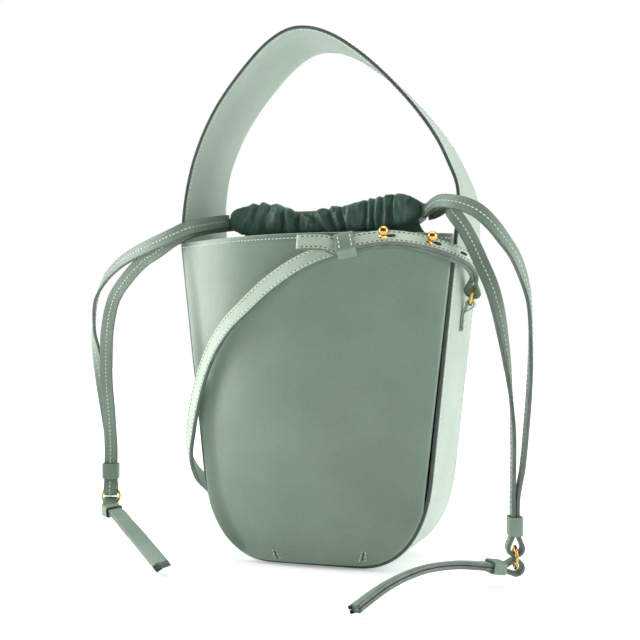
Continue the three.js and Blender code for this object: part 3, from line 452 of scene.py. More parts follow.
def torus(name, centre, axis, radius, wire, material, **options):
    axis = axis.normalized()
    first = axis.orthogonal().normalized()
    second = axis.cross(first)
    rings = []
    for i in range(64):
        angle = 2 * math.pi * i / 64
        out = first * math.cos(angle) + second * math.sin(angle)
        rings.append([
            centre + out * (radius + wire * math.cos(b)) + axis * wire * math.sin(b)
            for b in (2 * math.pi * k / 16 for k in range(16))
        ])
    return sweep(name, rings, [material], closed=True, **options)


def rounded_box_ring(half_a, half_b, corner, per_corner=5):
    """Points round a rectangle with rounded corners."""
    ring = []
    for quarter in range(4):
        sx = 1 if quarter in (0, 3) else -1
        sy = 1 if quarter < 2 else -1
        for k in range(per_corner):
            angle = (quarter + k / (per_corner - 1)) * math.pi / 2
            ring.append((
                sx * (half_a - corner) + corner * math.cos(angle),
                sy * (half_b - corner) + corner * math.sin(angle),
            ))
    return ring


def sleeve(name, middle, t, w, length, hole_width, hole_thick, wall, materials, **options):
    """A leather keeper: a rounded band with rolled ends round a strap."""
    t = t.normalized()
    w = (w - t * w.dot(t)).normalized()
    n = t.cross(w)
    rings = []

    def ring(along, out, corner):
        rings.append([
            middle + t * along + w * a + n * b
            for a, b in rounded_box_ring(hole_width / 2 + out, hole_thick / 2 + out, corner)
        ])

    half = length / 2
    for sign in (-1, 1):
        outline = [(0.94, 0), (0.99, 0.35), (1, 0.7), (0.985, 0.95), (0.93, 1.0), (0.5, 1.03)]
        if sign > 0:
            outline = outline[::-1]
        for along, out in outline:
            ring(sign * half * along, wall * out, 0.8 + wall * out)
    size = len(rings[0])
    bands = []
    edge_spans = (0, 1, 2, 8, 9, 10, 11)
    for i in range(len(rings)):
        bands += [1 if i in edge_spans else 0] * size
    faces = tube_faces(len(rings), size, closed=True)
    return make_mesh(name, [p for r in rings for p in r], faces, materials, bands, **options)


def lathe(name, base, axis, profile, material, segments=36, **options):
    axis = axis.normalized()
    first = axis.orthogonal().normalized()
    second = axis.cross(first)
    rings = [
        [
            base + axis * height + (first * math.cos(a) + second * math.sin(a)) * radius
            for a in (2 * math.pi * k / segments for k in range(segments))
        ]
        for radius, height in profile
    ]
    return sweep(name, rings, [material], **options)


# ---- materials ----

def linear(*channels):
    """An sRGB colour from 0 to 255 as a linear RGBA."""
    values = [c / 255 for c in channels]
    return [v / 12.92 if v <= 0.04045 else ((v + 0.055) / 1.055) ** 2.4 for v in values] + [1]


class Nodes:
    """A material's node tree with its shader, and short ways to add nodes."""

    def __init__(self, name):
        self.material = bpy.data.materials.new(name)
        self.material.use_nodes = True
        self.tree = self.material.node_tree
        self.shader = self.tree.nodes["Principled BSDF"]
        coordinates = self.tree.nodes.new("ShaderNodeTexCoord")
        self.place = coordinates.outputs["Object"]

    def add(self, kind, inputs=None, **settings):
        node = self.tree.nodes.new(kind)
        for key, value in settings.items():
            setattr(node, key, value)
        for key, value in (inputs or {}).items():
            if isinstance(value, bpy.types.NodeSocket):
                self.tree.links.new(value, node.inputs[key])
            else:
                node.inputs[key].default_value = value
        return node

    def noise(self, per_metre, detail=3.0, rough=0.55, distortion=0.0):
        return self.add("ShaderNodeTexNoise", {
            "Vector": self.place, "Scale": per_metre, "Detail": detail, "Roughness": rough,
            "Distortion": distortion,
        }).outputs["Fac"]

    def cells(self, per_metre):
        inputs = {"Vector": self.place, "Scale": per_metre}
        return self.add("ShaderNodeTexVoronoi", inputs).outputs["Distance"]

    def ramp(self, factor, low, high, colours):
        node = self.add("ShaderNodeValToRGB", {"Fac": factor})
        node.color_ramp.elements[0].position = low
        node.color_ramp.elements[1].position = high
        node.color_ramp.elements[0].color = colours[0]
        node.color_ramp.elements[1].color = colours[1]
        return node.outputs["Color"]

    def between(self, factor, low, high, to_low=0.0, to_high=1.0):
        return self.add("ShaderNodeMapRange", {
            "Value": factor, "From Min": low, "From Max": high, "To Min": to_low, "To Max": to_high,
        }).outputs["Result"]

    def mix(self, factor, first, second, blend="MIX"):
        node = self.tree.nodes.new("ShaderNodeMix")
        node.data_type = "RGBA"
        node.blend_type = blend
        for index, value in ((0, factor), (6, first), (7, second)):
            if isinstance(value, bpy.types.NodeSocket):
                self.tree.links.new(value, node.inputs[index])
            else:
                node.inputs[index].default_value = value
        return node.outputs[2]

    def bump(self, height, strength, distance, under=None):
        inputs = {"Height": height, "Strength": strength, "Distance": distance}
        if under:
            inputs["Normal"] = under
        return self.add("ShaderNodeBump", inputs).outputs["Normal"]

    def link(self, socket, name):
        self.tree.links.new(socket, self.shader.inputs[name])

    def set(self, **values):
        for name, value in values.items():
            self.shader.inputs[name.replace("_", " ")].default_value = value


def leather(name, light, deep, rough=0.45, grain=1100, depth=0.00012, fine=0.5):
    """Grained leather: light and deep tones in patches, the grain's pits darkened with painted shade,
    convex ridges and rounded edges lightened with a painted highlight, and a fine grain.
    """
    m = Nodes(name)
    patches = m.noise(22, 4)
    fibres = m.noise(grain * 0.45, 6, 0.65)
    pebbles = m.cells(grain)
    tone = m.ramp(patches, 0.3, 0.7, (linear(*deep), linear(*light)))
    # painted shade: the grain's pits are darkened where they would lie in shade
    pits = m.between(pebbles, 0.0, 0.8, 0.9, 1.06)
    shade = m.add("ShaderNodeCombineColor", {"Red": pits, "Green": pits, "Blue": pits}).outputs[0]
    toned = m.mix(1.0, tone, shade, "MULTIPLY")
    # painted highlight: convex ridges and rounded edges are lightened as if catching the light
    ridge = m.add("ShaderNodeNewGeometry").outputs["Pointiness"]
    ridge_highlight = m.between(ridge, 0.52, 0.6, 0.0, 0.35)
    m.link(m.mix(ridge_highlight, toned, linear(*[min(255, c + 22) for c in light])), "Base Color")
    m.link(m.between(fibres, 0.3, 0.7, rough - 0.07, rough + 0.09), "Roughness")
    broad = m.bump(m.noise(140, 3), 0.25, 0.0006)
    grainy = m.bump(pebbles, fine, depth, broad)
    m.link(m.bump(fibres, fine, depth, grainy), "Normal")
    m.set(Specular_IOR_Level=0.45)
    return m.material


def edge_paint(name, colour, lift):
    """The lacquer on a cut leather edge: slightly uneven and semi-gloss."""
    m = Nodes(name)
    uneven = m.noise(160, 4)
    m.link(m.ramp(uneven, 0.3, 0.7, (linear(*colour), linear(*lift))), "Base Color")
    m.link(m.between(m.noise(500, 3), 0.3, 0.7, 0.38, 0.55), "Roughness")
    m.link(m.bump(uneven, 0.35, 0.0004), "Normal")
    return m.material


def thread(name, light, deep):
    """Waxed twisted thread."""
    m = Nodes(name)
    twist = m.add("ShaderNodeTexWave", {
        "Vector": m.place, "Scale": 900, "Distortion": 2.0, "Detail": 1.0,
    }, bands_direction="DIAGONAL").outputs["Fac"]
    m.link(m.ramp(twist, 0.1, 0.8, (linear(*deep), linear(*light))), "Base Color")
    m.link(m.between(m.noise(2500), 0.3, 0.7, 0.5, 0.7), "Roughness")
    m.link(m.bump(twist, 0.5, 0.0001), "Normal")
    return m.material


def gold(name):
    """Polished gold plating with faint handling marks."""
    m = Nodes(name)
    marks = m.noise(700, 6, 0.7, 0.6)
    m.link(m.ramp(m.noise(90), 0.3, 0.7, (linear(198, 150, 72), linear(228, 190, 114))), "Base Color")
    m.link(m.between(marks, 0.35, 0.7, 0.1, 0.24), "Roughness")
    m.link(m.bump(marks, 0.12, 0.00005), "Normal")
    m.set(Metallic=1.0)
    return m.material


def soft_leather(name, light, deep):
    """The pouch's thin leather: dark green, finely creased, with a soft sheen."""
    m = Nodes(name)
    creases = m.noise(260, 7, 0.6, 0.5)
    m.link(m.ramp(m.noise(45, 4), 0.3, 0.72, (linear(*deep), linear(*light))), "Base Color")
    m.link(m.between(creases, 0.3, 0.7, 0.26, 0.4), "Roughness")
    wrinkled = m.bump(creases, 0.5, 0.0005)
    m.link(m.bump(m.cells(1500), 0.35, 0.0001, wrinkled), "Normal")
    m.set(Sheen_Weight=0.15, Sheen_Roughness=0.4)
    return m.material


def board(name):
    """Pressed fibre board."""
    m = Nodes(name)
    fibres = m.noise(900, 6, 0.7)
    m.link(m.ramp(fibres, 0.3, 0.7, (linear(52, 50, 47), linear(84, 80, 74))), "Base Color")
    m.link(m.between(fibres, 0.3, 0.7, 0.8, 0.95), "Roughness")
    m.link(m.bump(fibres, 0.5, 0.0002), "Normal")
    return m.material


def slit_shade_material(name):
    """Painted shade: a dark colour standing for the shaded inside of punched slits and the creases of
    darts.
    """
    m = Nodes(name)
    fibres = m.noise(1500, 4)
    m.link(m.ramp(fibres, 0.3, 0.7, (linear(22, 28, 24), linear(44, 52, 46))), "Base Color")
    m.set(Roughness=0.9)
    return m.material


# Lit and shaded copies of one green leather: the panels' copy is darkened with painted shade for the
# front that faces away from the lights, and the side strip's and the lining's copies are lightened with
# painted light for faces turned to the softboxes.
BODY_SHADED = leather("body_leather", (118, 140, 123), (108, 130, 113), rough=0.36)
SIDE_LIT = leather("side_leather", (160, 178, 164), (149, 167, 153), rough=0.42)
LINING_LIT = leather("lining_leather_lit_copy", (170, 190, 176), (156, 177, 162), rough=0.46)
# Lit and shaded copies of one strap leather: the copy for the drawstrings, tassels and keepers is
# darkened with painted shade for the drawstrings' shaded faces, and the shoulder strap's copy is the
# pale, lit one.
STRAP_SHADED = leather("strap_leather", (126, 146, 129), (110, 131, 114), rough=0.48, grain=1400)
STRAP_LIT = leather("strap_leather_lit_copy", (182, 201, 182), (167, 188, 168), rough=0.48, grain=1400)
POUCH = soft_leather("pouch_leather", (108, 145, 127), (52, 80, 67))
EDGE = edge_paint("edge_paint", (64, 73, 68), (80, 89, 84))
STRAP_EDGE = edge_paint("strap_edge_paint", (82, 94, 86), (104, 116, 107))
THREAD = thread("stitch_thread", (232, 238, 230), (196, 206, 196))
# painted shade: dark beads standing for the shade inside the needle holes
NEEDLE_HOLE_SHADE = thread("painted_needle_hole_shade", (84, 98, 86), (50, 62, 54))
GOLD = gold("gold_plating")
BOARD = board("base_board_fibre")
# painted shade for the insides of slits and the creases of darts
SLIT_SHADE = slit_shade_material("painted_slit_shade")

CORD_FINISH = [STRAP_SHADED, STRAP_EDGE]
SHOULDER_FINISH = [STRAP_LIT, STRAP_EDGE]


# ---- camera, floor and light ----

CAMERA_PLACE = (0.2385, -0.7017, 0.152)
CAMERA_TURN = math.radians(19.4)
CAMERA_LENS = 56.8
CAMERA_SHIFT = 0.0438
FLOOR_HALF = 6000


def add_camera():
    """Level, from the right of the front, as the bag was photographed."""
    data = bpy.data.cameras.new("camera")
    data.sensor_width = 36
    data.lens = CAMERA_LENS
    data.shift_y = CAMERA_SHIFT
    camera = bpy.data.objects.new("camera", data)
    camera.location = CAMERA_PLACE
    camera.rotation_euler = (math.pi / 2, 0, CAMERA_TURN)
    bpy.context.collection.objects.link(camera)
    bpy.context.scene.camera = camera


def area_light(name, place, target, size, power):
    data = bpy.data.lights.new(name, "AREA")
    data.shape = "RECTANGLE"
    data.size, data.size_y = size
    data.energy = power
    light = bpy.data.objects.new(name, data)
    light.location = place
    light.rotation_euler = (Vector(target) - Vector(place)).to_track_quat("-Z", "Y").to_euler()
    bpy.context.collection.objects.link(light)


def add_studio():
    """White paper that glows more with distance, so that it meets the backdrop, and three lights."""
    paper = Nodes("floor_paper")
    fibres = paper.noise(40)
    white = (linear(250, 250, 250), linear(253, 253, 253))
    paper.link(paper.ramp(fibres, 0.3, 0.7, white), "Base Color")
    far = paper.add("ShaderNodeVectorMath", {0: paper.place}, operation="LENGTH").outputs["Value"]
    paper.link(paper.between(far, 0.6, 2.5, 0.3, 1.0), "Emission Strength")
    paper.set(Roughness=0.9, Emission_Color=(1, 1, 1, 1))
    corners = [(x * FLOOR_HALF, y * FLOOR_HALF, 0) for x, y in ((-1, -1), (1, -1), (1, 1), (-1, 1))]
    floor = make_mesh("floor", corners, [(0, 1, 2, 3)], [paper.material], body=None)
    middle = (0, 0, 0.15)
    area_light("left_softbox", (-1.15, -0.2, 0.5), middle, (0.6, 1.1), 16)
    area_light("right_softbox", (1.15, 0.05, 0.45), middle, (0.6, 1.1), 9.5)
    area_light("top_softbox", (0, 0.15, 1.6), (0, 0, 0.2), (1.6, 1.2), 16)
    add_world()


def add_world():
    """A white room that is dimmer on the front side, and plain white where the camera sees it."""
    world = bpy.data.worlds.new("studio")
    world.use_nodes = True
    tree = world.node_tree
    backdrop = tree.nodes["Background"]
    backdrop.inputs["Color"].default_value = (1, 1, 1, 1)
    room = tree.nodes.new("ShaderNodeBackground")
    direction = tree.nodes.new("ShaderNodeSeparateXYZ")
    coordinates = tree.nodes.new("ShaderNodeTexCoord")
    tree.links.new(coordinates.outputs["Generated"], direction.inputs["Vector"])
    dim = tree.nodes.new("ShaderNodeMapRange")
    dim.interpolation_type = "SMOOTHSTEP"
    span = {"From Min": -0.9, "From Max": 0.6, "To Min": 0.08, "To Max": 1.0}
    for name, value in span.items():
        dim.inputs[name].default_value = value
    tree.links.new(direction.outputs["Y"], dim.inputs["Value"])
    tree.links.new(dim.outputs["Result"], room.inputs["Strength"])
    rays = tree.nodes.new("ShaderNodeLightPath")
    both = tree.nodes.new("ShaderNodeMixShader")
    tree.links.new(rays.outputs["Is Camera Ray"], both.inputs["Fac"])
    tree.links.new(room.outputs["Background"], both.inputs[1])
    tree.links.new(backdrop.outputs["Background"], both.inputs[2])
    tree.links.new(both.outputs["Shader"], tree.nodes["World Output"].inputs["Surface"])
    bpy.context.scene.world = world
    bpy.context.scene.view_settings.view_transform = "Standard"


# ---- straps and what hangs on them ----

def hang_frame(hang):
    across = Vector(hang["across"]).normalized()
    return Vector((hang["x"], hang["y"], hang["top"])), across, across.cross(UP)


FOLD_ANGLES = [math.radians(lerp(60, 300, s)) for s in steps(14)]


def fold_places(eye, along, w, side, thick, half):
    """Places along a strap folded round a wire, from the leg on `side` to the other leg."""
    radius = EYE_RADIUS + thick / 2
    flat = [(LEG, half), (0.7 * LEG, lerp(half, radius, 0.28))]
    arc = [(radius * math.cos(a), radius * math.sin(a)) for a in FOLD_ANGLES]
    shape = spline([(u, v, 0) for u, v in flat + arc[::2] + [(u, -v) for u, v in reversed(flat)]], 3)
    line = [eye + along * q.x + side * q.y for q in shape]
    return [(p, t, w, t.cross(w).normalized()) for p, t in zip(line, tangents(line))]


def centre_stitches(name, places, thick, seed=5):
    """One row of white stitches along the middle of both faces."""
    for face, sign in (("top", 1), ("under", -1)):
        rise = thick / 2 + 0.1 + (STRAP_CROWN if sign > 0 else 0)
        line = [p + n * sign * rise for p, _, _, n in places]
        ups = [n * sign for _, _, _, n in places]
        beads(
            f"{name}_stitches_{face}", resample(line, ups, CORD_STITCH_PITCH, 3, 3), 2.0, 0.8, THREAD,
            seed=seed, slot="strap_leather",
        )


def add_drawstring(side, front, rear, hang):
    """Both runs of one side: the front one goes on round the ring, the rear one meets its end."""
    top, _, facing = hang_frame(hang)
    front_places = stations(*front, PER_SEGMENT)
    rear_places = stations(*rear, PER_SEGMENT)
    end = front_places[-1][0]
    out = facing if (end - top).dot(facing) > 0 else -facing
    eye = top - UP * EYE_SHIFT
    width = front_places[-1][2]
    loop = fold_places(eye, UP, width, out, CORD_THICK, CORD_THICK / 2 + 0.25)
    whole = front_places + loop
    front_run = strap(
        f"{side}_drawstring", whole, CORD_WIDTH, CORD_THICK, CORD_FINISH, slot="strap_leather"
    )
    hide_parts(f"drawstring_{side}_front", f"{side}_drawstring_loop")
    rear_run = strap(
        f"{side}_drawstring_back_run", rear_places, CORD_WIDTH, CORD_THICK, CORD_FINISH,
        slot="strap_leather",
    )
    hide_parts(f"drawstring_{side}_rear")
    centre_stitches(f"{side}_drawstring", whole, CORD_THICK)
    centre_stitches(f"{side}_drawstring_back_run", rear_places, CORD_THICK, seed=8)
    return front_run, [p for p, _, _, _ in whole], rear_run, [p for p, _, _, _ in rear_places]


def add_drawstring_keeper(side, hang):
    top, across, _ = hang_frame(hang)
    middle = top + UP * KEEPER_RISE
    body = f"{side}_drawstring_keeper"
    keeper = sleeve(
        f"{side}_keeper_sleeve", middle, UP, across, length=12, hole_width=CORD_WIDTH + 0.9,
        hole_thick=2 * CORD_THICK + 2.0, wall=1.1, materials=CORD_FINISH, body=body,
        slot="strap_leather",
    )
    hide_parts(body)
    return keeper


TASSEL_CLEAR = 7  # where a tassel's two leaves part from the fold
TASSEL_KEEPER_PLACE = 12


def add_tassel(side, hang, route, widths):
    """The ring, the strap folded round it with both leaves lying together, and their keeper."""
    top, across, _ = hang_frame(hang)
    ring_body = f"{side}_tassel_ring"
    ring = torus(
        f"{side}_tassel_ring_wire", top - UP * RING_RADIUS, across.cross(UP), RING_RADIUS, RING_WIRE,
        GOLD, body=ring_body, slot="gold_metal",
    )
    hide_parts(ring_body)

    body = f"{side}_tassel"
    places = stations(route, widths, PER_SEGMENT)
    eye, direction, width, face = places[0]
    eye = eye + UP * EYE_SHIFT
    half = LEAF / 2 + 0.2
    radius = EYE_RADIUS + LEAF / 2

    def leaf(sign):
        found = []
        for i, (p, t, w, n) in enumerate(places[TASSEL_CLEAR:]):
            lift = half + 0.8 * (1 - smooth(i / 3))
            found.append((p + n * sign * lift, t, w, n))
        return found

    bend = []
    for angle in FOLD_ANGLES:
        c = math.cos(angle)
        s = math.sin(angle)
        p = eye + direction * radius * c + face * radius * s
        bend.append((p, None, width, direction * c + face * s))
    upper = leaf(1)[::-1]
    lower = [(p, t, w, -n) for p, t, w, n in leaf(-1)]
    profile = strap_profile(TASSEL_WIDTH, LEAF, 0.1, 0.5)
    rings = [place_profile(place, profile) for place in upper + bend + lower]
    tip = places[-1][1]
    for index in (0, -1):
        rings[index] = [
            q - tip * TASSEL_SLANT * clamp(a / TASSEL_WIDTH + 0.5)
            for q, (a, _, _) in zip(rings[index], profile)
        ]
    tassel = sweep(
        f"{side}_tassel_leaves", rings, CORD_FINISH, profile_bands(profile), cap_band=1,
        body=body, slot="strap_leather",
    )
    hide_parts(f"{side}_tassel_strap")

    p, t, w, _ = places[TASSEL_KEEPER_PLACE]
    keeper_body = f"{side}_tassel_keeper"
    keeper = sleeve(
        f"{side}_tassel_sleeve", p, t, w, length=9, hole_width=TASSEL_WIDTH + 0.9,
        hole_thick=2 * LEAF + 1.3, wall=1.3, materials=CORD_FINISH, body=keeper_body,
        slot="strap_leather",
    )
    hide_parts(keeper_body)
    return ring, tassel, keeper


def strap_ring_place(side):
    eye = Vector((side * EYE_OUT, 0, EYE_HEIGHT))
    if side > 0:
        lean = Vector((math.sin(RIGHT_RING_LEAN), 0, math.cos(RIGHT_RING_LEAN)))
    else:
        lean = Vector((-math.sin(LEFT_RING_LEAN), 0, -math.cos(LEFT_RING_LEAN)))
    return eye, lean, eye + lean * STRAP_RING_RADIUS


def strap_loop_place(side):
    """Where the shoulder strap folds round a ring: the fold's middle, its way out and its width."""
    _, lean, middle = strap_ring_place(side)
    angle = RIGHT_LOOP_ANGLE if side > 0 else LEFT_LOOP_ANGLE
    along = lean * math.cos(angle) + Vector((0, -side * math.sin(angle), 0))
    across = lean * side * math.sin(angle) + Vector((0, math.cos(angle), 0))
    return middle + along * (STRAP_RING_RADIUS - EYE_SHIFT), along, across


def strap_end_points(side):
    eye, along, across = strap_loop_place(side)
    face = along.cross(across) * (-side * LAYER_RISE / 2)
    return [eye + along * distance + face for distance in (LEG + 0.9, LEG + 5)], across


def shoulder_places():
    right, right_width = strap_end_points(1)
    left, left_width = strap_end_points(-1)
    route = right + SHOULDER_ROUTE + left[::-1]
    widths = [right_width] * 2 + SHOULDER_UP + [left_width] * 2
    return stations(route, widths, SHOULDER_PER_SEGMENT)


def edge_row_places(places, across, thick, sign, shift):
    """Places along one edge row, `shift` along from the first stitch."""
    line = [p + w * across + n * sign * (thick / 2 + 0.08) for p, _, w, n in places]
    return resample(line, [n * sign for _, _, _, n in places], STITCH_PITCH, 4 + shift, 4 - shift)


def edge_stitches(name, places, sign, thread_size, hole_size, seed):
    """A row along each edge of the shoulder strap: pale thread between dark beads of painted shade for
    the needle holes' shaded insides.
    """
    threads = []
    holes = []
    row = STRAP_WIDTH / 2 - EDGE_ROW_INSET
    for across in (-row, row):
        threads += edge_row_places(places, across, STRAP_THICK, sign, 0)
        holes += edge_row_places(places, across, STRAP_THICK, sign, STITCH_PITCH / 2)
    for kind, rows, size, material in (
        ("threads", threads, thread_size, THREAD), ("holes", holes, hole_size, NEEDLE_HOLE_SHADE),
    ):
        beads(f"{name}_{kind}", rows, *size, material, seed=seed, slot="strap_leather")


def add_shoulder_strap():
    """The long run from the right ring round the bag to the left ring, and its sewn tail."""
    places = shoulder_places()
    run = strap(
        "shoulder_strap_run", places, STRAP_WIDTH, STRAP_THICK, SHOULDER_FINISH, slot="strap_leather"
    )
    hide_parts("shoulder_strap")
    edge_stitches("shoulder_strap_outer", places, -1, (2.0, 0.75), (0.9, 0.6), 11)

    eye, along, across = strap_loop_place(-1)
    side = along.cross(across).normalized()
    loop = fold_places(eye, along, across, side, STRAP_THICK, -LAYER_RISE / 2)
    tail_length = TAIL_STATIONS * PER_STATION
    tail = [(p + n * LAYER_RISE, t, w, n) for p, t, w, n in places[-tail_length:]]
    left_loop = strap(
        "shoulder_strap_left_loop", loop, STRAP_WIDTH, STRAP_THICK, SHOULDER_FINISH,
        slot="strap_leather",
    )
    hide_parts("left_strap_loop")
    left_tail = strap(
        "shoulder_strap_tail", tail, STRAP_WIDTH, STRAP_THICK, SHOULDER_FINISH, slot="strap_leather"
    )
    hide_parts("strap_left_tail")
    return run, places, [left_loop, left_tail]


def slit(name, place, offset, length):
    """A punched slit, drawn as a dark bead of painted shade for its shaded inside."""
    p, t, _, n = place
    middle = p + n * (LAYER_RISE - STRAP_THICK / 2) - t * offset
    return beads(name, [(middle, t, -n)], length, 2.2, SLIT_SHADE, sink=0.0, slot="strap_leather")


def add_fold_back(places):
    """The strap's end, back from the right ring over the main run, with its slits."""
    length = FOLD_BACK_SHARED * PER_STATION + 1
    shared = [(p + n * LAYER_RISE, t, w, n) for p, t, w, n in places[:length]]
    last = shared[-1]
    route = [tuple(last[0])] + FOLD_BACK_TIP
    hints = [tuple(last[2])] + [(0, 0.25, 0.97)] * len(FOLD_BACK_TIP)
    tip = stations(route, hints, SHOULDER_PER_SEGMENT)[1:]
    eye, along, across = strap_loop_place(1)
    side = along.cross(across).normalized()
    loop = fold_places(eye, along, across, side, STRAP_THICK, -LAYER_RISE / 2)
    end = strap(
        "shoulder_strap_end", loop + shared + tip, STRAP_WIDTH, STRAP_THICK, SHOULDER_FINISH,
        slot="strap_leather",
    )
    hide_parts("strap_end", "right_strap_loop")
    edge_stitches("shoulder_strap_end", shared[6:] + tip, -1, (1.0, 0.55), (1.9, 0.8), 12)
    pieces = [end]
    for index, station in enumerate(STUD_STATIONS):
        place = places[station * PER_STATION]
        pieces.append(slit(f"stud_slit_{index + 1}", place, offset=5.4, length=5.6))
    place = places[SPARE_HOLE_STATION * PER_STATION]
    pieces.append(slit("spare_slit", place, offset=0, length=6.5))
    return pieces


BALL_RADIUS = 3.4
BALL_HALF_HEIGHT = 3.2
BALL_RISE = 4.8  # from the strap's upper face to the ball's middle
# The flange and neck under a ball: radius, and height above the strap's upper face.
STUD_FOOT = [(0.01, -0.6), (2.5, -0.6), (2.6, 0), (2.4, 0.35), (1.7, 0.6), (1.5, 1.7)]


def add_studs(places):
    pieces = []
    for index, station in enumerate(STUD_STATIONS):
        p, _, _, n = places[station * PER_STATION]
        face = -LAYER_RISE + STRAP_THICK / 2
        profile = [(radius, face + height) for radius, height in STUD_FOOT]
        for s in steps(12):
            angle = math.radians(lerp(-62, 89, s))
            height = face + BALL_RISE + BALL_HALF_HEIGHT * math.sin(angle)
            profile.append((BALL_RADIUS * math.cos(angle), height))
        knob = lathe(f"ball_stud_{index + 1}", p, -n, profile, GOLD, slot="gold_metal")
        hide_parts(f"stud_{index + 1}")
        pieces.append(knob)
    return pieces


def add_strap_keeper(places):
    """The sleeve round both layers of the shoulder strap, stitched across near its two ends."""
    p, t, w, n = places[KEEPER_STATION * PER_STATION]
    middle = p + n * LAYER_RISE / 2
    keeper = sleeve(
        "strap_keeper_sleeve", middle, t, w, length=12.5, hole_width=STRAP_WIDTH + 1.2,
        hole_thick=2 * STRAP_THICK + 2.4, wall=1.4, materials=CORD_FINISH, body="strap_keeper",
        slot="strap_leather",
    )
    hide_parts("strap_keeper")
    rows = []
    half = STRAP_WIDTH / 2
    height = STRAP_THICK + 1.2 + 1.5
    for column in (-4, 4):
        line = [middle + t * column + w * lerp(-half, half, s) - n * height for s in steps(8)]
        rows += resample(line, [-n] * 9, STITCH_PITCH, 0.5, 0.5)
    stitches = beads(
        "strap_keeper_stitches", rows, 2.2, 0.8, THREAD, seed=21, body="strap_keeper",
        slot="strap_leather",
    )
    return [keeper, stitches]


# ---- the body ----

def strip_loop():
    """The strip's outer line, closed: down the left, under, up the right, over the handle."""
    right = [outline_point(s) for s in steps(70)]
    left = [(-x, z) for x, z in right]
    over = [(p.x, p.z) for p in spline([(x, 0, z) for x, z in HANDLE_LINE], 8)][::-1]
    return left + right[::-1][1:] + over[1:-1]


def strip_half(z):
    if z <= RIM_HEIGHT:
        return side_half(z)
    climb = clamp((z - RIM_HEIGHT) / HANDLE_TAPER)
    return lerp(SIDE_HALF_TOP, APEX_HALF, math.sin(climb * math.pi / 2))


def handle_thick(z):
    """The strip's thickness, less above the rim where it is the handle."""
    return lerp(STRIP_THICK, HANDLE_THICK, smooth((z - RIM_HEIGHT) / 12))


def strip_places():
    """Point, direction along the loop, inward direction and half width, all round the strip."""
    outline = strip_loop()
    count = len(outline)
    places = []
    for i, (x, z) in enumerate(outline):
        x0, z0 = outline[i - 1]
        x1, z1 = outline[(i + 1) % count]
        t = Vector((x1 - x0, 0, z1 - z0)).normalized()
        places.append((Vector((x, 0, z)), t, Vector((-t.z, 0, t.x)), strip_half(z)))
    return places


def strip_profile(half):
    """Across, depth below the outer face, and the finish: 0 outer, 1 painted edge, 2 lining."""
    flat = half - 0.7
    outer = [(flat * a, 0.0, 0) for a in (-1, -0.97, -0.93, -0.6, -0.2, 0.2, 0.6, 0.93, 0.97, 1)]
    side = [
        (half - 0.2, 0.25, 1), (half, 0.9, 1), (half - 0.15, STRIP_THICK / 2, 1),
        (half, STRIP_THICK - 0.9, 1), (half - 0.2, STRIP_THICK - 0.25, 1),
    ]
    inner = [(flat * a, STRIP_THICK, 2) for a in (1, 0.95, 0.5, 0, -0.5, -0.95, -1)]
    return outer + side + inner + [(-a, d, m) for a, d, m in reversed(side)]


def add_strip():
    """The side strip, the base and the handle: two layers of leather sewn together, edges painted."""
    places = strip_places()
    rings = []
    for p, _, inward, half in places:
        profile = strip_profile(half)
        puff = 0.25 if p.z > RIM_HEIGHT else 0.0
        thin = handle_thick(p.z) / STRIP_THICK
        ring = []
        for a, d, _ in profile:
            bulge = puff * (1 - (a / half) ** 2) * (1 if d < STRIP_THICK / 2 else -1)
            ring.append(p + Vector((0, a, 0)) + inward * (d * thin - bulge))
        rings.append(ring)
    # painted light: the outer face takes the lit side-strip copy and the inner face the lit lining copy
    # of the one leather
    strip = sweep(
        "side_strip_and_handle", rings, [SIDE_LIT, EDGE, LINING_LIT], profile_bands(strip_profile(1)),
        closed=True, body=None, slot="side_leather",
    )
    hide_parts("left_gusset", "right_gusset", "base_panel", "handle_strap", "handle_lining")
    outer_rows = []
    inner_rows = []
    for sign in (-1, 1):
        ring = places + places[:1]
        line = [
            p + Vector((0, sign * (half - STRIP_ROW_INSET), 0))
            - inward * (STITCH_LIFT if p.z > 1 else -BASE_STITCH_SINK)
            for p, _, inward, half in ring
        ]
        outer_rows += resample(line, [-inward for _, _, inward, _ in ring], STITCH_PITCH)
        handle = [place for place in places if place[0].z > RIM_HEIGHT + 1]
        line = [
            p + Vector((0, sign * (half - STRIP_ROW_INSET), 0))
            + inward * (handle_thick(p.z) + STITCH_LIFT)
            for p, _, inward, half in handle
        ]
        inner_rows += resample(line, [inward for _, _, inward, _ in handle], STITCH_PITCH)
    pieces = [strip]
    for name, rows, seed in (
        ("strip_stitches", outer_rows, 31), ("handle_lining_stitches", inner_rows, 32),
    ):
        pieces.append(beads(name, rows, 2.1, 0.85, THREAD, seed=seed, body=None, slot="side_leather"))
    for piece in pieces:
        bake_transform(piece)


def edge_swell(x, z):
    """How far a panel stands proud of the strip's edge, most at the lower left."""
    distance = min(half_width(z) - abs(x), z) - STRIP_THICK
    left = lerp(4.6, 2.0, z / RIM_HEIGHT)
    amount = lerp(left, 0.7, smooth((x + 62) / 90))
    return amount * (1 - smooth(distance / SWELL_REACH))


def panel_face(x, z):
    return panel_depth(x, z) + edge_swell(x, z)


def panel_point(across, v, side, depth=0.0):
    """A place on a panel: `across` from -1 to 1, `v` from the base to the rim."""
    s = lerp(0.62, 1, 1 - abs(across))
    inset = lerp(PANEL_INSET_LEFT, PANEL_INSET_RIGHT, smooth(across + 0.5))
    edge_x, edge_z = inset_point(s, inset)
    top_x = (RIM_HALF_WIDTH - inset) * abs(across)
    rise = v ** 1.15
    x = math.copysign(lerp(edge_x, top_x, rise), across)
    z = lerp(edge_z, RIM_HEIGHT, rise)
    return Vector((x, side * (panel_face(x, z) - depth), z))


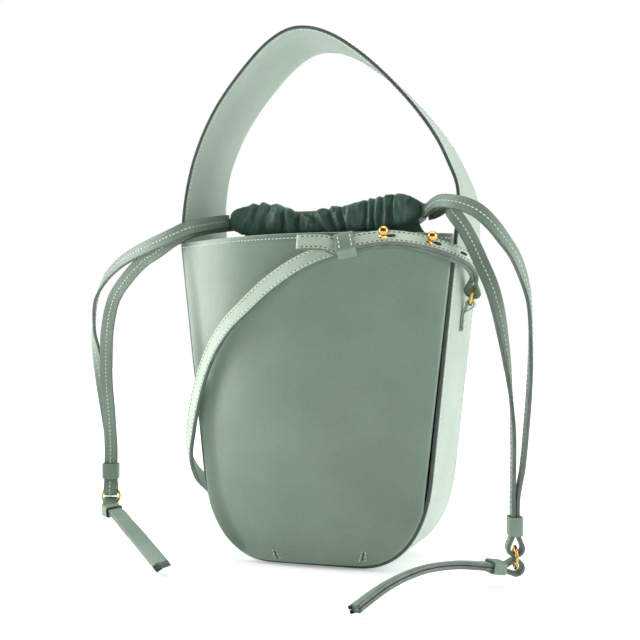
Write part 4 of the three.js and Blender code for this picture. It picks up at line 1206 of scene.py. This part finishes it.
def add_panel(side):
    """A bulging panel whose sides roll in beside the strip and whose rim is turned over."""
    name = "front" if side < 0 else "back"
    columns = [math.sin(math.pi / 2 * lerp(-1, 1, u)) for u in steps(110)]
    rows = [1 - math.cos(math.pi / 2 * u) for u in steps(70)]
    rims = [panel_point(a, 0, side) for a in (lerp(-1, 1, u) for u in steps(400))]
    rims += [panel_point(a, v, side) for a in (-1, 1) for v in steps(400)]
    edge = KDTree(len(rims))
    for i, p in enumerate(rims):
        edge.insert((p.x, 0, p.z), i)
    edge.balance()

    def surface(across, v, depth):
        p = panel_point(across, v, side, depth)
        distance = edge.find((p.x, 0, p.z))[2]
        if distance < ROLL:
            p.y -= side * (ROLL - math.sqrt(max(0, ROLL**2 - (ROLL - distance) ** 2)))
        return p

    rings = []
    for across in columns:
        outer = [surface(across, v, 0) for v in rows]
        inner = [surface(across, v, PANEL_THICK) for v in rows[::-3]]
        top = outer[-1]
        outer[-1] = top - UP * 0.5
        turned = [top - UP * 0.12 - Vector((0, side * 0.35, 0)), top - Vector((0, side * 1.0, 0))]
        turned.append(top - UP * 0.12 - Vector((0, side * 1.65, 0)))
        inner[0] -= UP * 0.5
        rings.append(outer + turned + inner)
    size = len(rings[0])
    lip = len(rows) - 1
    # painted light and shade: the turned-over rim takes the lit side-strip copy, the shell's face the
    # shaded copy and its inside the lit lining copy of the one leather
    band = [0] * lip + [2] * 4 + [1] * (size - lip - 4)
    panel = sweep(f"{name}_panel_shell", rings, [BODY_SHADED, LINING_LIT, SIDE_LIT], band, slot="body_leather")
    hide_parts(f"{name}_panel")

    top_line = []
    for u in steps(160):
        p = panel_point(lerp(-0.985, 0.985, u), 1, side)
        z = RIM_HEIGHT - 3.2
        top_line.append(on_panel(p.x, z, side))
    rows = resample(top_line, [surface_up(p, side) for p in top_line], RIM_STITCH_PITCH)
    beads(f"{name}_rim_stitches", rows, 1.9, 0.75, THREAD, seed=41, slot="body_leather")
    add_darts(side, name)


def surface_up(p, side):
    """The way out of a panel's surface."""
    reach = 0.6
    slope_x = (panel_face(p.x + reach, p.z) - panel_face(p.x - reach, p.z)) / (2 * reach)
    slope_z = (panel_face(p.x, p.z + reach) - panel_face(p.x, p.z - reach)) / (2 * reach)
    return Vector((-slope_x, side, -slope_z)).normalized()


def on_panel(x, z, side):
    """A place for a stitch, just off a panel's surface."""
    return Vector((x, side * (panel_face(x, z) + STITCH_LIFT), z))


# Each dart's foot and tip on the front: x, z.
DARTS = [((-23.8, 4.5), (-26.7, 11.8)), ((36.5, 5.5), (38.7, 13.8))]


def add_darts(side, name):
    """Two short sewn tucks at the panel's bottom: a dark line of painted shade in each crease, between
    two rows of stitches.
    """
    slits = []
    stitches = []
    for foot, tip in DARTS:
        for offset, rows, pitch in ((0, slits, 9), (-1, stitches, 2.6), (1, stitches, 2.6)):
            start = foot[0] + offset * 2.2
            end = tip[0] + offset * 0.9
            line = [
                on_panel(lerp(start, end, s), lerp(foot[1], tip[1], s), side) for s in steps(6)
            ]
            rows += resample(line, [surface_up(p, side) for p in line], pitch)
    # painted shade: a dark bead along each dart's crease
    beads(f"{name}_dart_slits", slits, 7.5, 0.8, SLIT_SHADE, sink=0.6, slot="body_leather")
    beads(f"{name}_dart_stitches", stitches, 1.8, 0.6, THREAD, seed=51, slot="body_leather")


# ---- the pouch ----

POUCH_POWER = 2.4
COLLAR_DEPTH = 10.4
COLLAR_Y = 8.4
# The collar's upper and lower outlines seen from the front: x, z.
COLLAR_TOP = [
    (-77, 254.5), (-70, 256.6), (-62, 258), (-52, 259.2), (-40, 258), (-33, 256), (-25, 252),
    (-20, 249.6), (-10, 251.3), (5, 254.2), (21, 255.6), (32, 258.6), (43, 260.2), (54, 261.6),
    (62, 259), (70, 256),
]
COLLAR_BOTTOM = [
    (-77, 240), (-62, 236.5), (-20, 236), (20, 236), (45, 237.5), (60, 240), (70, 243),
]
# Heights at which the pouch's wall follows the bag's inside.
POUCH_HEIGHTS = [9, 9.5, 12, 18, 30, 50, 80, 115, 150, 185, 205, 214]
# The shoulder above them: height, half the width and half the depth.
POUCH_SHOULDER = [(222, 88, 52), (229, 78, 28), (234.5, 70, 12), (239, 67, 8), (243, 66, 6.5)]
POUCH_AROUND = 220

# Gathers of the collar's front: x at the top, x at the bottom, half width and rise.
FRONT_GATHERS = [
    (-58, -66, 2.2, 1.6), (-53, -60, 1.6, -1.5), (-49, -55, 2.0, 1.7), (-44.5, -50, 1.5, -1.7),
    (-38, -40, 4.0, 1.3), (-32.5, -33.5, 1.4, -1.9), (-27.5, -27.5, 2.6, 1.8), (-21.5, -21, 1.5, -2.4),
    (-19, -10, 2.4, 1.7), (-14, -3, 1.8, -1.6), (-5, 3.5, 2.6, 1.4), (0.5, 8, 1.4, -1.5),
    (6, 11.5, 2.2, 1.2), (11.5, 13.5, 1.3, -1.5), (21, 21, 6.5, 1.2), (30.5, 30, 1.2, -1.7),
    (33, 32.6, 1.3, 1.0), (36, 35.6, 1.1, -1.4), (39, 38.4, 1.3, 1.1), (42, 41.2, 1.1, -1.5),
    (45.4, 44.4, 1.5, 1.2), (50, 49, 1.3, -1.6), (60, 59.5, 6.5, 0.7),
]


def rear_gathers():
    rng = random.Random(17)
    found = []
    x = -66.0
    while x < 62:
        width = rng.uniform(1.5, 3.2)
        lean = rng.uniform(-5, 5)
        found.append((x, x + lean, width, rng.uniform(0.9, 1.7)))
        found.append((x + width * 1.7, x + width * 1.7 + lean, width * 0.7, -rng.uniform(1.0, 1.8)))
        x += width * rng.uniform(3.0, 3.8)
    return found


def gather(gathers, x, height):
    """How far the gathered leather stands out at x, `height` from -1 (bottom) to 1 (top)."""
    total = 0.0
    for index, (top, bottom, width, rise) in enumerate(gathers):
        sway = width * 0.45 * math.sin(height * 2.6 + index * 1.7)
        middle = lerp(bottom, top, smooth(height / 2 + 0.5)) + sway
        total += rise * math.exp(-((x - middle) / width) ** 2)
    return total * 1.7


def height_at(outline, x):
    """The height at x along an outline made fine enough to read straight between its points."""
    for a, b in zip(outline, outline[1:]):
        if x <= b.x:
            return lerp(a.z, b.z, clamp((x - a.x) / (b.x - a.x)))
    return outline[-1].z


def add_collar():
    """The gathered neck: two rolled halves round the drawstring's channel, meeting at the ends."""
    upper = spline([(x, 0, z) for x, z in COLLAR_TOP], 8)
    lower = spline([(x, 0, z) for x, z in COLLAR_BOTTOM], 16)
    rear = rear_gathers()
    first = COLLAR_TOP[0][0]
    last = COLLAR_TOP[-1][0]
    rings = []
    for x in (lerp(first, last, u) for u in steps(280)):
        from_end = min(x - first, last - x) + 1.2
        shrink = math.sqrt(max(0, 1 - (1 - clamp(from_end / 9)) ** 2))
        calm = smooth((from_end - 3) / 8)
        top = height_at(upper, x)
        bottom = height_at(lower, x)
        centre = (top + bottom) / 2
        ring = []
        for side, gathers in ((-1, FRONT_GATHERS), (1, rear)):
            half = []
            for k in steps(30):
                angle = math.radians(lerp(-88, -330, k))
                c = math.cos(angle)
                s = math.sin(angle)
                out = gather(gathers, x, s) * calm * clamp(0.35 - c * 1.3, 0.15, 1)
                out += 0.9 * calm * noise.noise(Vector((x * 0.3, s * 1.8, side * 5)))
                depth = COLLAR_DEPTH / 2 * shrink * math.copysign(abs(c) ** 0.8, c)
                high = (top - bottom) / 2 * (0.5 + 0.5 * shrink) * math.copysign(abs(s) ** 0.8, s)
                y = COLLAR_Y * (0.55 + 0.45 * shrink) - depth - out * c * 0.9
                half.append(Vector((x, side * y, centre + high + out * s * 0.6)))
            ring += half if side < 0 else half[::-1]
            if side < 0:
                ring.append(Vector((x, 0, centre - 4)))
        rings.append(ring)
    collar = sweep("gathered_collar", rings, [POUCH], slot="pouch_leather", subdivide=1)
    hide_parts("pouch_collar_front", "pouch_collar_rear")


def add_pouch():
    """The pouch inside the bag, its shoulder gathered towards the collar."""
    clear = STRIP_THICK + POUCH_CLEAR
    levels = [(z, half_width(z) - clear, panel_depth(0, z) - clear) for z in POUCH_HEIGHTS]
    levels[0] = (levels[0][0], levels[0][1] * 0.94, levels[0][2] * 0.94)
    fine = spline([(half_x, half_y, z) for z, half_x, half_y in levels + POUCH_SHOULDER], 4)
    rng = random.Random(5)
    shifts = [rng.uniform(-1, 1) for _ in range(8)]
    rings = []
    for half_x, half_y, z in fine:
        ring = []
        pull = smooth((z - 206) / 26)
        for k in range(POUCH_AROUND):
            angle = k / POUCH_AROUND * 2 * math.pi
            c = math.cos(angle)
            s = math.sin(angle)
            power = 2 / POUCH_POWER
            x = half_x * math.copysign(abs(c) ** power, c)
            y = half_y * math.copysign(abs(s) ** power, s)
            wave = sum(
                math.sin(angle * (17 + 6 * j) + 3 * shift + 0.02 * z * shift)
                for j, shift in enumerate(shifts)
            ) / 3
            out = pull * wave * 1.3 * clamp(half_y / 30, 0.35, 1)
            slack = 1.2 * math.sin(angle * 5 + z * 0.05) * (1 - pull)
            ring.append(Vector((x + c * (out - abs(slack)), y + s * (out - abs(slack)), z)))
        rings.append(ring)
    pouch = sweep("soft_pouch", rings, [POUCH], slot="pouch_leather")
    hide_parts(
        "pouch_floor", "pouch_lower_front", "pouch_lower_rear", "pouch_upper_front",
        "pouch_upper_rear", "pouch_neck_front", "pouch_neck_rear",
    )


# ---- strap rings and their tabs ----

def add_strap_ring(side):
    name = "right" if side > 0 else "left"
    _, lean, middle = strap_ring_place(side)
    axis = Vector((-lean.z, 0, lean.x))
    ring = torus(
        f"{name}_strap_ring_wire", middle, axis, STRAP_RING_RADIUS, STRAP_RING_WIRE + 0.2, GOLD,
        body=f"{name}_strap_ring", slot="gold_metal",
    )
    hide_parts(f"{name}_strap_ring")


def add_ring_tab(side):
    """A leather tab sewn to the side strip, folded round the strap ring."""
    name = "right" if side > 0 else "left"
    slope = (RIM_HALF_WIDTH - BASE_HALF_WIDTH) / RIM_HEIGHT
    wall = half_width(EYE_HEIGHT)
    near = 0.3 + TAB_THICK / 2
    far = near + TAB_THICK + 0.15
    radius = TAB_EYE + TAB_THICK / 2

    def foot(z, out):
        return wall - (EYE_HEIGHT - z) * slope + out, 0, z

    route = [foot(164, far), foot(170, far), foot(176, far)]
    for s in steps(8):
        angle = math.radians(lerp(-60, 200, s))
        route.append((EYE_OUT + radius * math.cos(angle), 0, EYE_HEIGHT + radius * math.sin(angle)))
    route += [foot(176.5, near), foot(170, near), foot(164, near)]
    route = [(side * x, y, z) for x, y, z in route]
    places = stations(route, [(0, 1, 0)] * len(route), 5)
    tab = strap(
        f"{name}_tab", places, TAB_WIDTH, TAB_THICK, [SIDE_LIT, SIDE_LIT], crown=0.05, slot="side_leather"
    )
    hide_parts(f"{name}_ring_tab")
    rows = []
    for z in (166, 168.8, 171.6):
        for y in (-2, 2):
            x = side * (wall - (EYE_HEIGHT - z) * slope + far + TAB_THICK / 2 + 0.05)
            rows.append((Vector((x, y, z)), Vector((0, 0.15, 1)).normalized(), Vector((side, 0, 0))))
    beads(f"{name}_tab_stitches", rows, 1.8, 0.5, THREAD, seed=61, slot="side_leather")


def finish_cad_nodes():
    """The hidden nodes kept as they are get their own finishes."""
    for name, material in (
        ("base_board", BOARD), ("drawstring_channel_front", STRAP_SHADED), ("drawstring_channel_rear", STRAP_SHADED),
        ("stud_screw_1", GOLD), ("stud_screw_2", GOLD),
    ):
        bpy.data.objects[name].material_slots[0].material = material


add_camera()
add_studio()

for side_name, front_line, rear_line, hang_at, tassel_line, tassel_widths in (
    ("left", (LEFT_FRONT_ROUTE, LEFT_FRONT_WIDTH), (LEFT_REAR_ROUTE, LEFT_REAR_WIDTH), LEFT_HANG,
     LEFT_TASSEL, LEFT_TASSEL_WIDTH),
    ("right", (RIGHT_FRONT_ROUTE, RIGHT_FRONT_WIDTH), (RIGHT_REAR_ROUTE, RIGHT_REAR_WIDTH),
     RIGHT_HANG, RIGHT_TASSEL, RIGHT_TASSEL_WIDTH),
):
    run, run_line, back_run, back_line = add_drawstring(side_name, front_line, rear_line, hang_at)
    hanging = [add_drawstring_keeper(side_name, hang_at)]
    ring_piece, tassel_piece, small_sleeve = add_tassel(side_name, hang_at, tassel_line, tassel_widths)
    hanging += [ring_piece, tassel_piece, small_sleeve]

shoulder_run, shoulder_line, shoulder_pieces = add_shoulder_strap()
shoulder_pieces += add_fold_back(shoulder_line)
shoulder_pieces += add_studs(shoulder_line)
shoulder_pieces += add_strap_keeper(shoulder_line)

add_strip()
for panel_side in (-1, 1):
    add_panel(panel_side)
    add_strap_ring(panel_side)
    add_ring_tab(panel_side)
add_pouch()
add_collar()
finish_cad_nodes()
